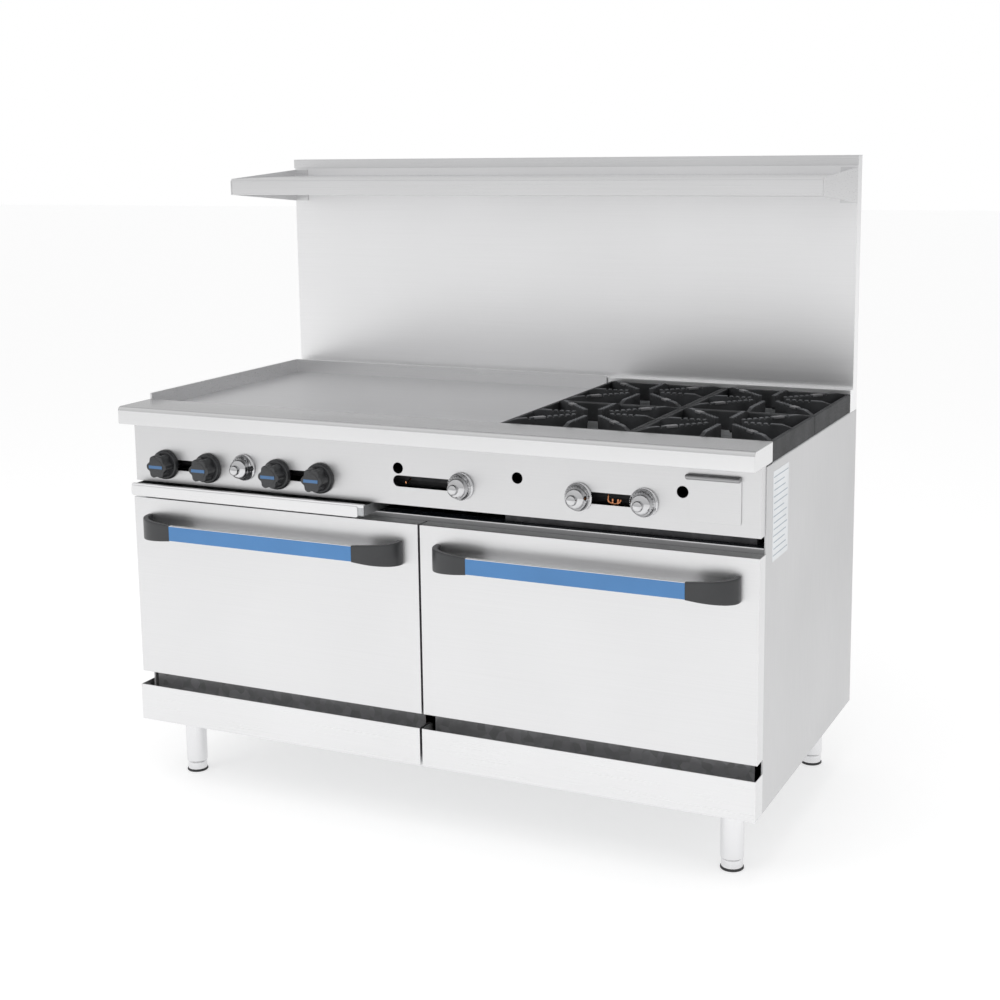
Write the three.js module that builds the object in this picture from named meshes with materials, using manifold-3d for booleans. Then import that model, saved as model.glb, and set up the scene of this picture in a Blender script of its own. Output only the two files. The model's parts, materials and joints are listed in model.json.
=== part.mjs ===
// A commercial gas range, 60 inches wide: two ovens side by side, a 36 inch griddle with its own
// splash walls on the left, four cast iron burner grates on the right, a tall back guard and a high
// shelf. Millimetres, +X to the right, +Y to the back, +Z up. The origin is on the floor, under the
// middle of the range.
import * as THREE from 'three';
import { mergeVertices } from 'three/addons/utils/BufferGeometryUtils.js';
import Module from 'manifold-3d';

const wasm = await Module();
wasm.setup();

// ---------------------------------------------------------------- driving dimensions
// Body
const WIDTH = 1524; // across the side panels
const BODY_DEPTH = 748; // side panel, front edge to back edge
const SIDE_THICK = 4; // side panel, outer sheet and its folded backing together
const SHEET = 2; // folded sheet metal
const GAP = 0.3; // between pieces that touch
const ROUND_SIDES = 24; // flats on a turned piece
const LEG_SIDES = 16;
const PIPE_SIDES = 12;

// Heights, in order from the floor up
const LEG_HEIGHT = 153;
const KICK_HEIGHT = 87;
const KICK_TO_DOOR = 30; // air gap under the doors
const DOOR_HEIGHT = 429;
const DOOR_TO_LIP = 1;
const LIP_HEIGHT = 11; // oven frame showing above the door
const TRAY_SLOT = 26;
const PANEL_HEIGHT = 143;
const RAIL_HEIGHT = 41;
const GUARD_RISE = 550; // rail top to back guard top
const SIDE_DROP = 45; // rail top down to the side panel's top edge

// Legs and feet
const LEG_RADIUS = 25;
const LEG_BORE = 16;
const LEG_INSET_X = 79; // side panel's outer face to leg axis
const LEG_INSET_Y = 52.5; // body front or back to leg axis
const LEG_FLANGE = 96; // square flange welded to the leg's top
const FOOT_PAD_RADIUS = 26;
const FOOT_PAD_HEIGHT = 8;
const FOOT_SLOPE = 3; // pad's top up to the collar
const FOOT_COLLAR_RADIUS = 20.5;
const FOOT_HEIGHT = 25;
const FOOT_STUD_RADIUS = 10;
const FOOT_STUD_HEIGHT = 55; // of the stud inside the leg

// Kick panels and base pan
const KICK_PROUD = 50; // kick panel face in front of the body
const KICK_SPLIT = 5.6;
const PAN_RIM = 60;
const PAN_FLOOR = 3;

// Doors, hinges and handles
const DOOR_THICK = 39;
const DOOR_GAP = 1; // behind a shut door
const DOOR_SPLIT = 5; // between the two doors
const HINGE_INSET = 69.75; // door's side to its hinge
const HINGE_PLATE = 5;
const HINGE_NOTCH = 14;
const HINGE_SETBACK = 14; // pin axis in front of the door's inner face
const HINGE_RAISE = 4.5; // pin axis above the door's bottom edge
const HINGE_PIN_RADIUS = 2;
const HINGE_PIN_CLEAR = 0.5; // between the pin and its hole, all round
const HINGE_HEAD_RADIUS = 6;
const HINGE_FOOT = 26; // bracket plate, front to back
const LUG_LENGTH = 8;
const LINER_THICK = 3;
const HANDLE_REACH = 55; // handle front in front of the door
const HANDLE_BELOW_TOP = 66; // door top to handle centre
const HANDLE_INSET = 38.75; // door's side to the handle's end
const BAR_HEIGHT = 37;
const BAR_THICK = 9;
const CAP_LENGTH = 98;
const CAP_HEIGHT = 55; // at the door
const CAP_WALL = 9;
const CAP_FOOT = 14.5; // a cap's thickness where it meets the door
const CAP_STRAIGHT = 26; // a cap's flat front, before it curves back
const CAP_TAPER = 64; // from the bar to a cap's full height
const CAP_FULLNESS = 0.5; // how squarely a cap turns its corner

// Ovens
const CAVITY_SIDE_WALL = 51; // insulated space beside the cavity
const CAVITY_BACK_SPACE = 100; // flue and pipe space behind the cavity
const CAVITY_DROP = 34; // door top down to the cavity's roof
const CAVITY_LIFT = 35; // door bottom up to the cavity floor
const FRAME_DROP = 13; // cavity floor down to the front frame's lower edge
const FRAME_RETURN = 40; // top of the front frame, folded back
const LEDGE_COUNT = 3;
const LEDGE_STEP = 90;
const LEDGE_SIZE = 12;
const LEDGE_HEIGHT = 8;
const LEDGE_SETBACK = 60;
const FLUE_PORT_WIDTH = 300;
const FLUE_PORT_HEIGHT = 30;
const FLUE_PORT_DROP = 15;
const RACK_SETBACK = 65; // cavity's mouth to the rack
const RACK_WIRE = 6;
const RACK_WIRES = 9;
const RACK_WIRE_RISE = 1; // long wires lie this far above the cross bars
const RACK_SIDE_CLEAR = 4;
const RACK_BACK_CLEAR = 3;
const OVEN_TUBE_RADIUS = 19;
const OVEN_TUBE_LIFT = 70; // base pan's underside to the tube's axis
const BAFFLE_WIDTH = 220;
const BAFFLE_THICK = 3;
const BAFFLE_CLEAR = 22; // baffle's top below the oven frame's lower edge

// Drip trays
const TRAY_WALL = 1.5;
const TRAY_CLEAR = 2.2; // between a tray and the control panel over it
const TRAY_BACK_SPACE = 108; // a tray is this much shorter than the body
const LEFT_TRAY_EDGE = 10; // body side to the left tray
const LEFT_TRAY_TO_MIDDLE = 124;
const LEFT_TRAY_PROUD = 62; // tray lip in front of the body
const TRAY_LIP_DROP = 3.5; // lip below the tray's floor
const TRAY_LIP_SHORT = 15; // lip ends before the tray's right end
const RIGHT_TRAY_EDGE = 24;
const RIGHT_TRAY_TO_MIDDLE = 180;
const RIGHT_TRAY_SETBACK = 20;

// Control panel
const PANEL_PROUD = 29; // face in front of the body
const PANEL_INSET = 2; // panel ends inside the body's sides
const KNOB_HEIGHT = 44; // knob axis above the panel's bottom edge
const DIAL_HEIGHT = 53;
const KNOBS_FROM_LEFT = [90, 209, 398, 511];
const GRIDDLE_DIALS_FROM_LEFT = [308, 862];
const OVEN_DIALS_FROM_RIGHT = [390, 246];
const SIGHT_HOLES_FROM_LEFT = [708.5, 994];
const SIGHT_HOLE_FROM_RIGHT = 165;
const SIGHT_HOLE_RADIUS = 12.5;
const SIGHT_HOLE_HEIGHT = 81.5;
const LIGHTING_SLOT_HEIGHT = 25;
const LONG_SLOT_REACH = 166; // from the griddle dial to the long slot's round end
const SLOT_TO_SHAFT = 14; // slot end to the shaft it stops beside
const SHAFT_RADIUS = 5;
const SHAFT_CLEAR = 3; // between a shaft and its hole
const SKIRT_RADIUS = 35;
const SKIRT_DEPTH = 11;
const SKIRT_SLOPE = 2;
const KNOB_RADIUS = 28;
const KNOB_LOBES = 6;
const KNOB_LOBE_DEPTH = 2.6;
const LOBE_SIDES = 8;
const KNOB_DEPTH = 41.5;
const DIAL_RADIUS = 31;
const DIAL_RING_DEPTH = 9;
const DIAL_DOME_RADIUS = 23;
const DIAL_DOME_DEPTH = 22;
const DIAL_WAIST_DEPTH = 30.4;
const DIAL_NOSE_RADIUS = 11;
const DIAL_NOSE_START = 33.3;
const DIAL_DEPTH = 49;
const DIAL_SLOPE = 3; // between the dial's ring, dome and nose
const DIAL_EDGE = 2; // chamfer of the nose
const KNOB_STANDOFF = 0.5;
const COVER_WIDTH = 112;
const COVER_HEIGHT = 98;
const COVER_RIGHT = 42; // body side to the cover's right edge
const COVER_LIFT = 23; // panel bottom to the cover's bottom
const COVER_THICK = 3;
const COVER_TAB_HEIGHT = 9;
const COVER_TAB_EXTRA = 4; // tab reaches this far left of the cover
const COVER_TAB_REACH = 13;

// Gas pipework
const MANIFOLD_RADIUS = 16.5;
const MANIFOLD_SETBACK = 55; // pipe axis behind the panel's face
const MANIFOLD_LIFT = 48; // pipe axis above the panel's bottom
const VALVE_RADIUS = 11;
const VALVE_CLEAR = 14; // valve front behind the panel's face
const INLET_RADIUS = 13;
const INLET_FROM_SIDE = 62;
const INLET_HOLE_CLEAR = 4;
const OVEN_PIPE_RADIUS = 9;
const OVEN_PIPE_BEHIND = 30; // oven pipe in front of the body's back face

// Front rail
const RAIL_PROUD = 84;
const RAIL_DEPTH = 121.5;
const RAIL_ROUND = 10;
const RAIL_HEM = 14;

// Griddle
const GRIDDLE_WIDTH = 914;
const GRIDDLE_THICK = 20;
const GRIDDLE_BELOW_RAIL = 21;
const TROUGH_WIDTH = 70;
const TROUGH_DEPTH = 55;
const TROUGH_WALL = 4;
const TROUGH_END_DROP = 10;
const DRAIN_RADIUS = 20;
const DRAIN_FROM_SIDE = 332;
const DRAIN_LENGTH = 100;
const SPLASH_THICK = 5;
const SPLASH_RISE = 14; // splash above the rail
const DIVIDER_RISE = 3; // right-hand divider above the griddle
const GRIDDLE_BURNERS = 3;
const GRIDDLE_TUBE_RADIUS = 14;
const GRIDDLE_CROSS_RADIUS = 10;
const GRIDDLE_TUBE_SPACING = 110;
const GRIDDLE_TUBE_CLEAR = 44; // plate's underside to the tube's axis

// Open burners and grates
const DECK_DEPTH = 30;
const DECK_RIM = 16;
const BURNER_RADIUS = 52;
const BURNER_CAP_RADIUS = 40;
const BURNER_NECK_RADIUS = 30;
const BURNER_HOLE_CLEAR = 4;
const BURNER_BOWL_RISE = 18; // of the bowl's rim above the deck's floor
const BURNER_CAP_START = 26;
const BURNER_RISE = 36; // burner top above the deck's floor
const BURNER_EDGE = 4; // chamfer round the cap
const BURNER_DROP = 28; // neck below the deck's floor
const VENTURI_RADIUS = 12;
const VENTURI_SIDESTEP = 48; // a rear burner's tube passes beside the front burner
const VENTURI_TO_PIPE = 24;
const GRATE_SPLIT = 1;
const GRATE_WALL = 9;
const GRATE_HEIGHT = 49;
const GRATE_SKIRT = 42;
const GRATE_FINGER = 9;
const GRATE_FINGER_HEIGHT = 22;
const GRATE_EYE = 42; // open middle of a grate, radius

// Back guard and shelf
const GUARD_DEPTH = 38.5;
const FLUE_STEP_DEPTH = 24.5; // low flue box in front of the guard
const FLUE_STEP_RISE = 9; // flue box above the rail
const LOUVRE_COUNT = 5;
const LOUVRE_WIDTH = 220;
const LOUVRE_HEIGHT = 14;
const LOUVRE_STEP = 270;
const LOUVRE_BELOW_TOP = 90;
const SHELF_BELOW_TOP = 41;
const SHELF_DEPTH = 303.7;
const SHELF_LIP = 40;
const SHELF_HEM = 15;
const SHELF_ROUND = 6;
const BRACKET_THICK = 3;
const BRACKET_RISE = 16; // bracket above the shelf at the guard
const BRACKET_DROP = 66; // bracket below the shelf at the guard
const BRACKET_FLANGE = 40;

// ---------------------------------------------------------------- derived positions
const half = WIDTH / 2;
const inner = half - SIDE_THICK - GAP;
const frontReach = DOOR_GAP + DOOR_THICK + HANDLE_REACH;
const bodyFront = (frontReach - BODY_DEPTH) / 2;
const bodyBack = bodyFront + BODY_DEPTH;
const doorBack = bodyFront - DOOR_GAP;
const doorFront = doorBack - DOOR_THICK;

const kickTop = LEG_HEIGHT + KICK_HEIGHT;
const doorBottom = kickTop + KICK_TO_DOOR;
const doorTop = doorBottom + DOOR_HEIGHT;
const ovenTop = doorTop + DOOR_TO_LIP + LIP_HEIGHT;
const panelBottom = ovenTop + TRAY_SLOT;
const panelTop = panelBottom + PANEL_HEIGHT;
const railTop = panelTop + RAIL_HEIGHT;
const guardTop = railTop + GUARD_RISE;
const sideTop = railTop - SIDE_DROP;

const panelFront = bodyFront - PANEL_PROUD;
const railFront = bodyFront - RAIL_PROUD;
const railBack = railFront + RAIL_DEPTH;
const guardFront = bodyBack - GUARD_DEPTH;
const flueFront = guardFront - FLUE_STEP_DEPTH;
const cooktopFront = railBack + GAP;
const cooktopBack = flueFront - GAP;
const griddleRight = -half + GRIDDLE_WIDTH;
const griddleTop = railTop - GRIDDLE_BELOW_RAIL;
const shelfTop = guardTop - SHELF_BELOW_TOP;

const doorWidth = half - DOOR_SPLIT / 2;
const doorCentre = half - doorWidth / 2;
const barLength = doorWidth - 2 * (HANDLE_INSET + CAP_LENGTH);
const ovenCentre = half / 2;
const cavityFloor = doorBottom + CAVITY_LIFT;
const cavityTop = doorTop - CAVITY_DROP;
const cavityBack = bodyBack - CAVITY_BACK_SPACE;
const cavityNear = CAVITY_SIDE_WALL; // from the middle of the range
const cavityFar = half - CAVITY_SIDE_WALL;
const frameBottom = cavityFloor - FRAME_DROP;
const pinY = doorBack - HINGE_SETBACK;
const pinZ = doorBottom + HINGE_RAISE;
const manifoldY = panelFront + MANIFOLD_SETBACK;
const manifoldZ = panelBottom + MANIFOLD_LIFT;
const inletX = half - INLET_FROM_SIDE;
const trayHeight = TRAY_SLOT - GAP - TRAY_CLEAR;
const knobPlaces = KNOBS_FROM_LEFT.map((reach) => reach - half);
const dialPlaces = [
  ...GRIDDLE_DIALS_FROM_LEFT.map((reach) => reach - half),
  ...OVEN_DIALS_FROM_RIGHT.map((reach) => half - reach),
];
const sightHolePlaces = [
  ...SIGHT_HOLES_FROM_LEFT.map((reach) => reach - half),
  half - SIGHT_HOLE_FROM_RIGHT,
];
const ovenTubeZ = LEG_HEIGHT + OVEN_TUBE_LIFT;

// ---------------------------------------------------------------- finishes
const BRIGHT_STEEL = { color: 0xd9dadb, roughness: 0.32, metalness: 0.9 };
const SATIN_STEEL = { color: 0xc4c5c6, roughness: 0.42, metalness: 0.85 };
const GALVANISED = { color: 0xa9acae, roughness: 0.5, metalness: 0.8 };
const GRIDDLE_STEEL = { color: 0xb2b3b4, roughness: 0.3, metalness: 0.85 };
const CAST_IRON = { color: 0x2a2b2d, roughness: 0.72, metalness: 0.4 };
const BLACK_PLASTIC = { color: 0x35373a, roughness: 0.38, metalness: 0 };
const BLUE_PAINT = { color: 0x3d76b5, roughness: 0.35, metalness: 0.1 };
const CHROME = { color: 0xe6e7e8, roughness: 0.08, metalness: 1 };
const ENAMEL = { color: 0x3a3d42, roughness: 0.25, metalness: 0 };
const RUBBER = { color: 0x2b2b2b, roughness: 0.8, metalness: 0 };
const IRON_PIPE = { color: 0x4a4c4e, roughness: 0.6, metalness: 0.6 };

// ---------------------------------------------------------------- solids
// A closed geometry as a solid that can be joined and cut.
function solid(geometry) {
  geometry.deleteAttribute('normal');
  geometry.deleteAttribute('uv');
  const merged = mergeVertices(geometry, 1e-4);
  return new wasm.Manifold(new wasm.Mesh({
    numProp: 3,
    vertProperties: new Float32Array(merged.attributes.position.array),
    triVerts: new Uint32Array(merged.index.array),
  }));
}

function join(...solids) {
  return solids.reduce((all, next) => all.add(next));
}

function cut(body, ...tools) {
  return tools.reduce((left, tool) => left.subtract(tool), body);
}

// A solid as a mesh with its own finish, named as the piece it is.
function piece(name, body, finish) {
  const mesh = body.getMesh();
  const geometry = new THREE.BufferGeometry();
  geometry.setAttribute('position', new THREE.BufferAttribute(mesh.vertProperties, 3));
  geometry.setIndex(new THREE.BufferAttribute(mesh.triVerts, 1));
  geometry.computeVertexNormals();
  const made = new THREE.Mesh(geometry, new THREE.MeshStandardMaterial(finish));
  made.name = name;
  return made;
}

// A block between two X, two Y and two Z values.
function block(x, y, z) {
  const geometry = new THREE.BoxGeometry(x[1] - x[0], y[1] - y[0], z[1] - z[0]);
  geometry.translate((x[0] + x[1]) / 2, (y[0] + y[1]) / 2, (z[0] + z[1]) / 2);
  return solid(geometry);
}

// A round bar along an axis: its other two coordinates, then where it starts and ends.
function rod(axis, radius, centre, from, to, sides = PIPE_SIDES) {
  const geometry = new THREE.CylinderGeometry(radius, radius, to - from, sides);
  const middle = (from + to) / 2;
  if (axis === 'x') {
    geometry.rotateZ(Math.PI / 2);
    geometry.translate(middle, centre[0], centre[1]);
  } else if (axis === 'y') {
    geometry.translate(centre[0], middle, centre[1]);
  } else {
    geometry.rotateX(Math.PI / 2);
    geometry.translate(centre[0], centre[1], middle);
  }
  return solid(geometry);
}

function extruded(shape, depth) {
  return new THREE.ExtrudeGeometry(shape, { depth, bevelEnabled: false, curveSegments: 6 });
}

function outline(points) {
  return new THREE.Shape(points.map(([a, b]) => new THREE.Vector2(a, b)));
}

// A Y-Z outline run along X.
function alongX(shape, from, to) {
  const geometry = extruded(shape, to - from);
  const turn = new THREE.Matrix4().makeBasis(
    new THREE.Vector3(0, 1, 0), new THREE.Vector3(0, 0, 1), new THREE.Vector3(1, 0, 0));
  geometry.applyMatrix4(turn);
  geometry.translate(from, 0, 0);
  return solid(geometry);
}

// An X-Z outline run along Y.
function alongY(shape, from, to) {
  const geometry = extruded(shape, to - from);
  geometry.rotateX(Math.PI / 2);
  geometry.translate(0, to, 0);
  return solid(geometry);
}

// An X-Y outline run along Z.
function alongZ(shape, from, to) {
  const geometry = extruded(shape, to - from);
  geometry.translate(0, 0, from);
  return solid(geometry);
}

// A radius and height profile turned about Z.
function turned(profile, sides) {
  const points = profile.map(([radius, height]) => new THREE.Vector2(radius, height));
  const geometry = new THREE.LatheGeometry(points, sides);
  geometry.rotateX(Math.PI / 2);
  return solid(geometry);
}

// The same profile turned about an axis that points out of the front of the range.
function turnedForward(profile, sides) {
  const points = profile.map(([radius, height]) => new THREE.Vector2(radius, height));
  const geometry = new THREE.LatheGeometry(points, sides);
  geometry.rotateX(Math.PI);
  return solid(geometry);
}

// Two X values mirrored to the left for side -1.
function span(side, near, far) {
  return side > 0 ? [near, far] : [-far, -near];
}

function sideName(side) {
  return side > 0 ? 'right' : 'left';
}

function placed(object, x, y, z) {
  object.position.set(x, y, z);
  return object;
}

// ---------------------------------------------------------------- body
function sidePanel(side) {
  const body = block(span(side, half - SIDE_THICK, half), [bodyFront, bodyBack], [LEG_HEIGHT, sideTop]);
  return piece(`side_panel_${sideName(side)}`, body, SATIN_STEEL);
}

function backPanel() {
  const front = bodyBack - SHEET;
  const sheet = block([-inner, inner], [front, bodyBack], [LEG_HEIGHT, sideTop]);
  const inletHole = rod('y', INLET_RADIUS + INLET_HOLE_CLEAR, [inletX, manifoldZ], front - 1, bodyBack + 1);
  return piece('back_panel', cut(sheet, inletHole), GALVANISED);
}

// One hinge bracket: a plate that stands behind the body's front plane, with a nose that carries
// the hinge pin in front of it.
function hingeBracket(x) {
  const back = bodyFront + HINGE_FOOT;
  const foot = LEG_HEIGHT + PAN_FLOOR / 2;
  const shape = new THREE.Shape();
  shape.moveTo(bodyFront, foot);
  shape.lineTo(back, foot);
  shape.lineTo(back, pinZ + HINGE_HEAD_RADIUS);
  shape.lineTo(pinY, pinZ + HINGE_HEAD_RADIUS);
  shape.absarc(pinY, pinZ, HINGE_HEAD_RADIUS, Math.PI / 2, -Math.PI / 2, false);
  shape.lineTo(bodyFront, pinZ - HINGE_HEAD_RADIUS);
  const plate = alongX(shape, x - HINGE_PLATE / 2, x + HINGE_PLATE / 2);
  const holeRadius = HINGE_PIN_RADIUS + HINGE_PIN_CLEAR;
  const hole = rod('x', holeRadius, [pinY, pinZ], x - HINGE_PLATE, x + HINGE_PLATE);
  return cut(plate, hole);
}

function hingePlaces(side) {
  return [-1, 1].map((end) => side * doorCentre + end * (doorWidth / 2 - HINGE_INSET));
}

function basePan() {
  const back = bodyBack - SHEET - GAP;
  const outer = block([-inner, inner], [bodyFront, back], [LEG_HEIGHT, LEG_HEIGHT + PAN_RIM]);
  const hollow = block(
    [-inner + SHEET, inner - SHEET],
    [bodyFront + SHEET, back - SHEET],
    [LEG_HEIGHT + PAN_FLOOR, LEG_HEIGHT + PAN_RIM + 1]);
  const brackets = [-1, 1].flatMap(hingePlaces).map(hingeBracket);
  return piece('base_pan', join(cut(outer, hollow), ...brackets), GALVANISED);
}

function kickPanel(side) {
  const front = bodyFront - KICK_PROUD;
  const reach = [front, bodyFront - GAP];
  const outer = block(span(side, KICK_SPLIT / 2, half), reach, [LEG_HEIGHT, kickTop]);
  const hollow = block(
    span(side, KICK_SPLIT / 2 + SHEET, half - SHEET),
    [front + SHEET, bodyFront],
    [LEG_HEIGHT - 1, kickTop + 1]);
  return piece(`kick_panel_${sideName(side)}`, cut(outer, hollow), BRIGHT_STEEL);
}

// Leg, with a square flange under the base pan and a bore for the foot's stud.
function leg(name, x, y) {
  const top = LEG_HEIGHT - GAP;
  const flangeThick = PAN_FLOOR;
  const tube = turned([
    [LEG_BORE, FOOT_HEIGHT],
    [LEG_RADIUS, FOOT_HEIGHT],
    [LEG_RADIUS, top - flangeThick / 2],
    [0, top - flangeThick / 2],
    [0, FOOT_HEIGHT + FOOT_STUD_HEIGHT + flangeThick],
    [LEG_BORE, FOOT_HEIGHT + FOOT_STUD_HEIGHT + flangeThick],
    [LEG_BORE, FOOT_HEIGHT],
  ], LEG_SIDES);
  const reach = LEG_FLANGE / 2;
  const flange = block([-reach, reach], [-reach, reach], [top - flangeThick, top]);
  return placed(piece(name, join(tube, flange), BRIGHT_STEEL), x, y, 0);
}

function foot(name, x, y) {
  const shoulder = FOOT_HEIGHT - GAP;
  const body = turned([
    [0, 0],
    [FOOT_PAD_RADIUS, 0],
    [FOOT_PAD_RADIUS, FOOT_PAD_HEIGHT],
    [FOOT_COLLAR_RADIUS, FOOT_PAD_HEIGHT + FOOT_SLOPE],
    [FOOT_COLLAR_RADIUS, shoulder],
    [FOOT_STUD_RADIUS, shoulder],
    [FOOT_STUD_RADIUS, FOOT_HEIGHT + FOOT_STUD_HEIGHT],
    [0, FOOT_HEIGHT + FOOT_STUD_HEIGHT],
  ], LEG_SIDES);
  return placed(piece(name, body, RUBBER), x, y, 0);
}

function legs() {
  const group = new THREE.Group();
  const rows = [['front', bodyFront + LEG_INSET_Y], ['rear', bodyBack - LEG_INSET_Y]];
  for (const [row, y] of rows) {
    for (const side of [-1, 1]) {
      const x = side * (half - LEG_INSET_X);
      group.add(leg(`leg_${row}_${sideName(side)}`, x, y));
      group.add(foot(`foot_${row}_${sideName(side)}`, x, y));
    }
  }
  return group;
}

// ---------------------------------------------------------------- ovens
function ledgeHeight(index) {
  return cavityFloor + LEDGE_STEP * (index + 1) - LEDGE_HEIGHT;
}

// The oven's enamelled box with its front frame, rack ledges, flue port and the two upright webs
// that carry the drip tray above it.
function ovenLiner(side) {
  const cavityZ = [cavityFloor, cavityTop];
  const shell = block(
    span(side, cavityNear - SHEET, cavityFar + SHEET),
    [bodyFront, cavityBack + SHEET],
    [cavityFloor - SHEET, cavityTop + SHEET]);
  const frameX = span(side, GAP / 2, inner);
  const frame = block(frameX, [bodyFront, bodyFront + SHEET], [frameBottom, ovenTop]);
  const lip = block(frameX, [bodyFront, bodyFront + FRAME_RETURN], [ovenTop - SHEET, ovenTop]);
  const webs = [cavityNear, cavityFar - SHEET].map((x) => block(
    span(side, x, x + SHEET),
    [bodyFront, cavityBack],
    [cavityTop + SHEET / 2, ovenTop]));
  const cavity = block(span(side, cavityNear, cavityFar), [bodyFront - 1, cavityBack], cavityZ);
  const portZ = cavityTop - FLUE_PORT_DROP;
  const port = block(
    span(side, ovenCentre - FLUE_PORT_WIDTH / 2, ovenCentre + FLUE_PORT_WIDTH / 2),
    [cavityBack - 1, cavityBack + SHEET + 1],
    [portZ - FLUE_PORT_HEIGHT, portZ]);
  const ledges = [];
  for (let index = 0; index < LEDGE_COUNT; index += 1) {
    const z = ledgeHeight(index);
    for (const x of [cavityNear - SHEET / 2, cavityFar - LEDGE_SIZE]) {
      const ledgeX = span(side, x, x + LEDGE_SIZE + SHEET / 2);
      const ledgeY = [bodyFront + LEDGE_SETBACK, cavityBack + SHEET / 2];
      ledges.push(block(ledgeX, ledgeY, [z, z + LEDGE_HEIGHT]));
    }
  }
  const body = join(cut(join(shell, frame, lip, ...webs), cavity, port), ...ledges);
  return piece(`oven_liner_${sideName(side)}`, body, ENAMEL);
}

// A flat wire rack that rests on the middle pair of ledges.
function rack(side) {
  const x0 = cavityNear + RACK_SIDE_CLEAR;
  const x1 = cavityFar - RACK_SIDE_CLEAR;
  const y0 = bodyFront + RACK_SETBACK;
  const y1 = cavityBack - RACK_BACK_CLEAR;
  const z0 = ledgeHeight(1) + LEDGE_HEIGHT + GAP;
  const z = [z0, z0 + RACK_WIRE];
  const bars = [y0, (y0 + y1 - RACK_WIRE) / 2, y1 - RACK_WIRE].map(
    (y) => block(span(side, x0, x1), [y, y + RACK_WIRE], z));
  const pitch = (x1 - x0 - RACK_WIRE) / (RACK_WIRES - 1);
  for (let index = 0; index < RACK_WIRES; index += 1) {
    const x = x0 + index * pitch;
    const inset = RACK_WIRE_RISE;
    bars.push(block(
      span(side, x + inset, x + RACK_WIRE - inset),
      [y0 + inset, y1 - inset],
      [z[0] + RACK_WIRE_RISE, z[1] + RACK_WIRE_RISE]));
  }
  return piece(`oven_rack_${sideName(side)}`, join(...bars), CHROME);
}

// The oven's tube burner, standing on the base pan, with the baffle plate that spreads its heat.
function ovenBurner(side) {
  const x = side * ovenCentre;
  const front = bodyFront + LEDGE_SETBACK;
  const tube = rod('y', OVEN_TUBE_RADIUS, [x, ovenTubeZ], front, cavityBack);
  const baffleTop = frameBottom - BAFFLE_CLEAR;
  const reach = BAFFLE_WIDTH / 2;
  const baffleZ = [baffleTop - BAFFLE_THICK, baffleTop];
  const baffle = block([x - reach, x + reach], [front, cavityBack], baffleZ);
  const standZ = [LEG_HEIGHT + PAN_FLOOR + GAP, baffleTop - BAFFLE_THICK / 2];
  const stands = [front + LEDGE_SETBACK, cavityBack - LEDGE_SETBACK].map(
    (y) => block([x - reach / 2, x + reach / 2], [y, y + BAFFLE_THICK], standZ));
  return piece(`oven_burner_${sideName(side)}`, join(tube, baffle, ...stands), IRON_PIPE);
}

// ---------------------------------------------------------------- doors
function hingeNotch(x) {
  const room = HINGE_HEAD_RADIUS + 2;
  return block(
    [x - HINGE_NOTCH / 2, x + HINGE_NOTCH / 2],
    [pinY - room, bodyFront],
    [doorBottom - 1, pinZ + room]);
}

function doorSkin(side) {
  const edge = DOOR_SPLIT / 2;
  const outer = block(span(side, edge, half), [doorFront, doorBack], [doorBottom, doorTop]);
  const hollow = block(
    span(side, edge + SHEET, half - SHEET),
    [doorFront + SHEET, doorBack + 1],
    [doorBottom + SHEET, doorTop - SHEET]);
  const notches = hingePlaces(side).map(hingeNotch);
  return piece(`door_skin_${sideName(side)}`, cut(outer, hollow, ...notches), BRIGHT_STEEL);
}

// The door's inner panel, with a pair of lugs and a pin at each hinge.
function doorLiner(side) {
  const inset = SHEET + GAP;
  const bottom = doorBottom + inset;
  const plate = block(
    span(side, DOOR_SPLIT / 2 + inset, half - inset),
    [doorBack - LINER_THICK, doorBack],
    [bottom, doorTop - inset]);
  const lugReach = HINGE_NOTCH / 2 + LUG_LENGTH;
  const lugTop = pinZ + HINGE_HEAD_RADIUS + SHEET;
  const lugs = hingePlaces(side).map((x) => block(
    [x - lugReach, x + lugReach], [pinY - HINGE_HEAD_RADIUS, doorBack], [bottom, lugTop]));
  const notches = hingePlaces(side).map(hingeNotch);
  const pinReach = HINGE_NOTCH / 2 + LUG_LENGTH / 2;
  const pins = hingePlaces(side).map(
    (x) => rod('x', HINGE_PIN_RADIUS, [pinY, pinZ], x - pinReach, x + pinReach));
  const body = join(cut(join(plate, ...lugs), ...notches), ...pins);
  return piece(`door_liner_${sideName(side)}`, body, ENAMEL);
}

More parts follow.
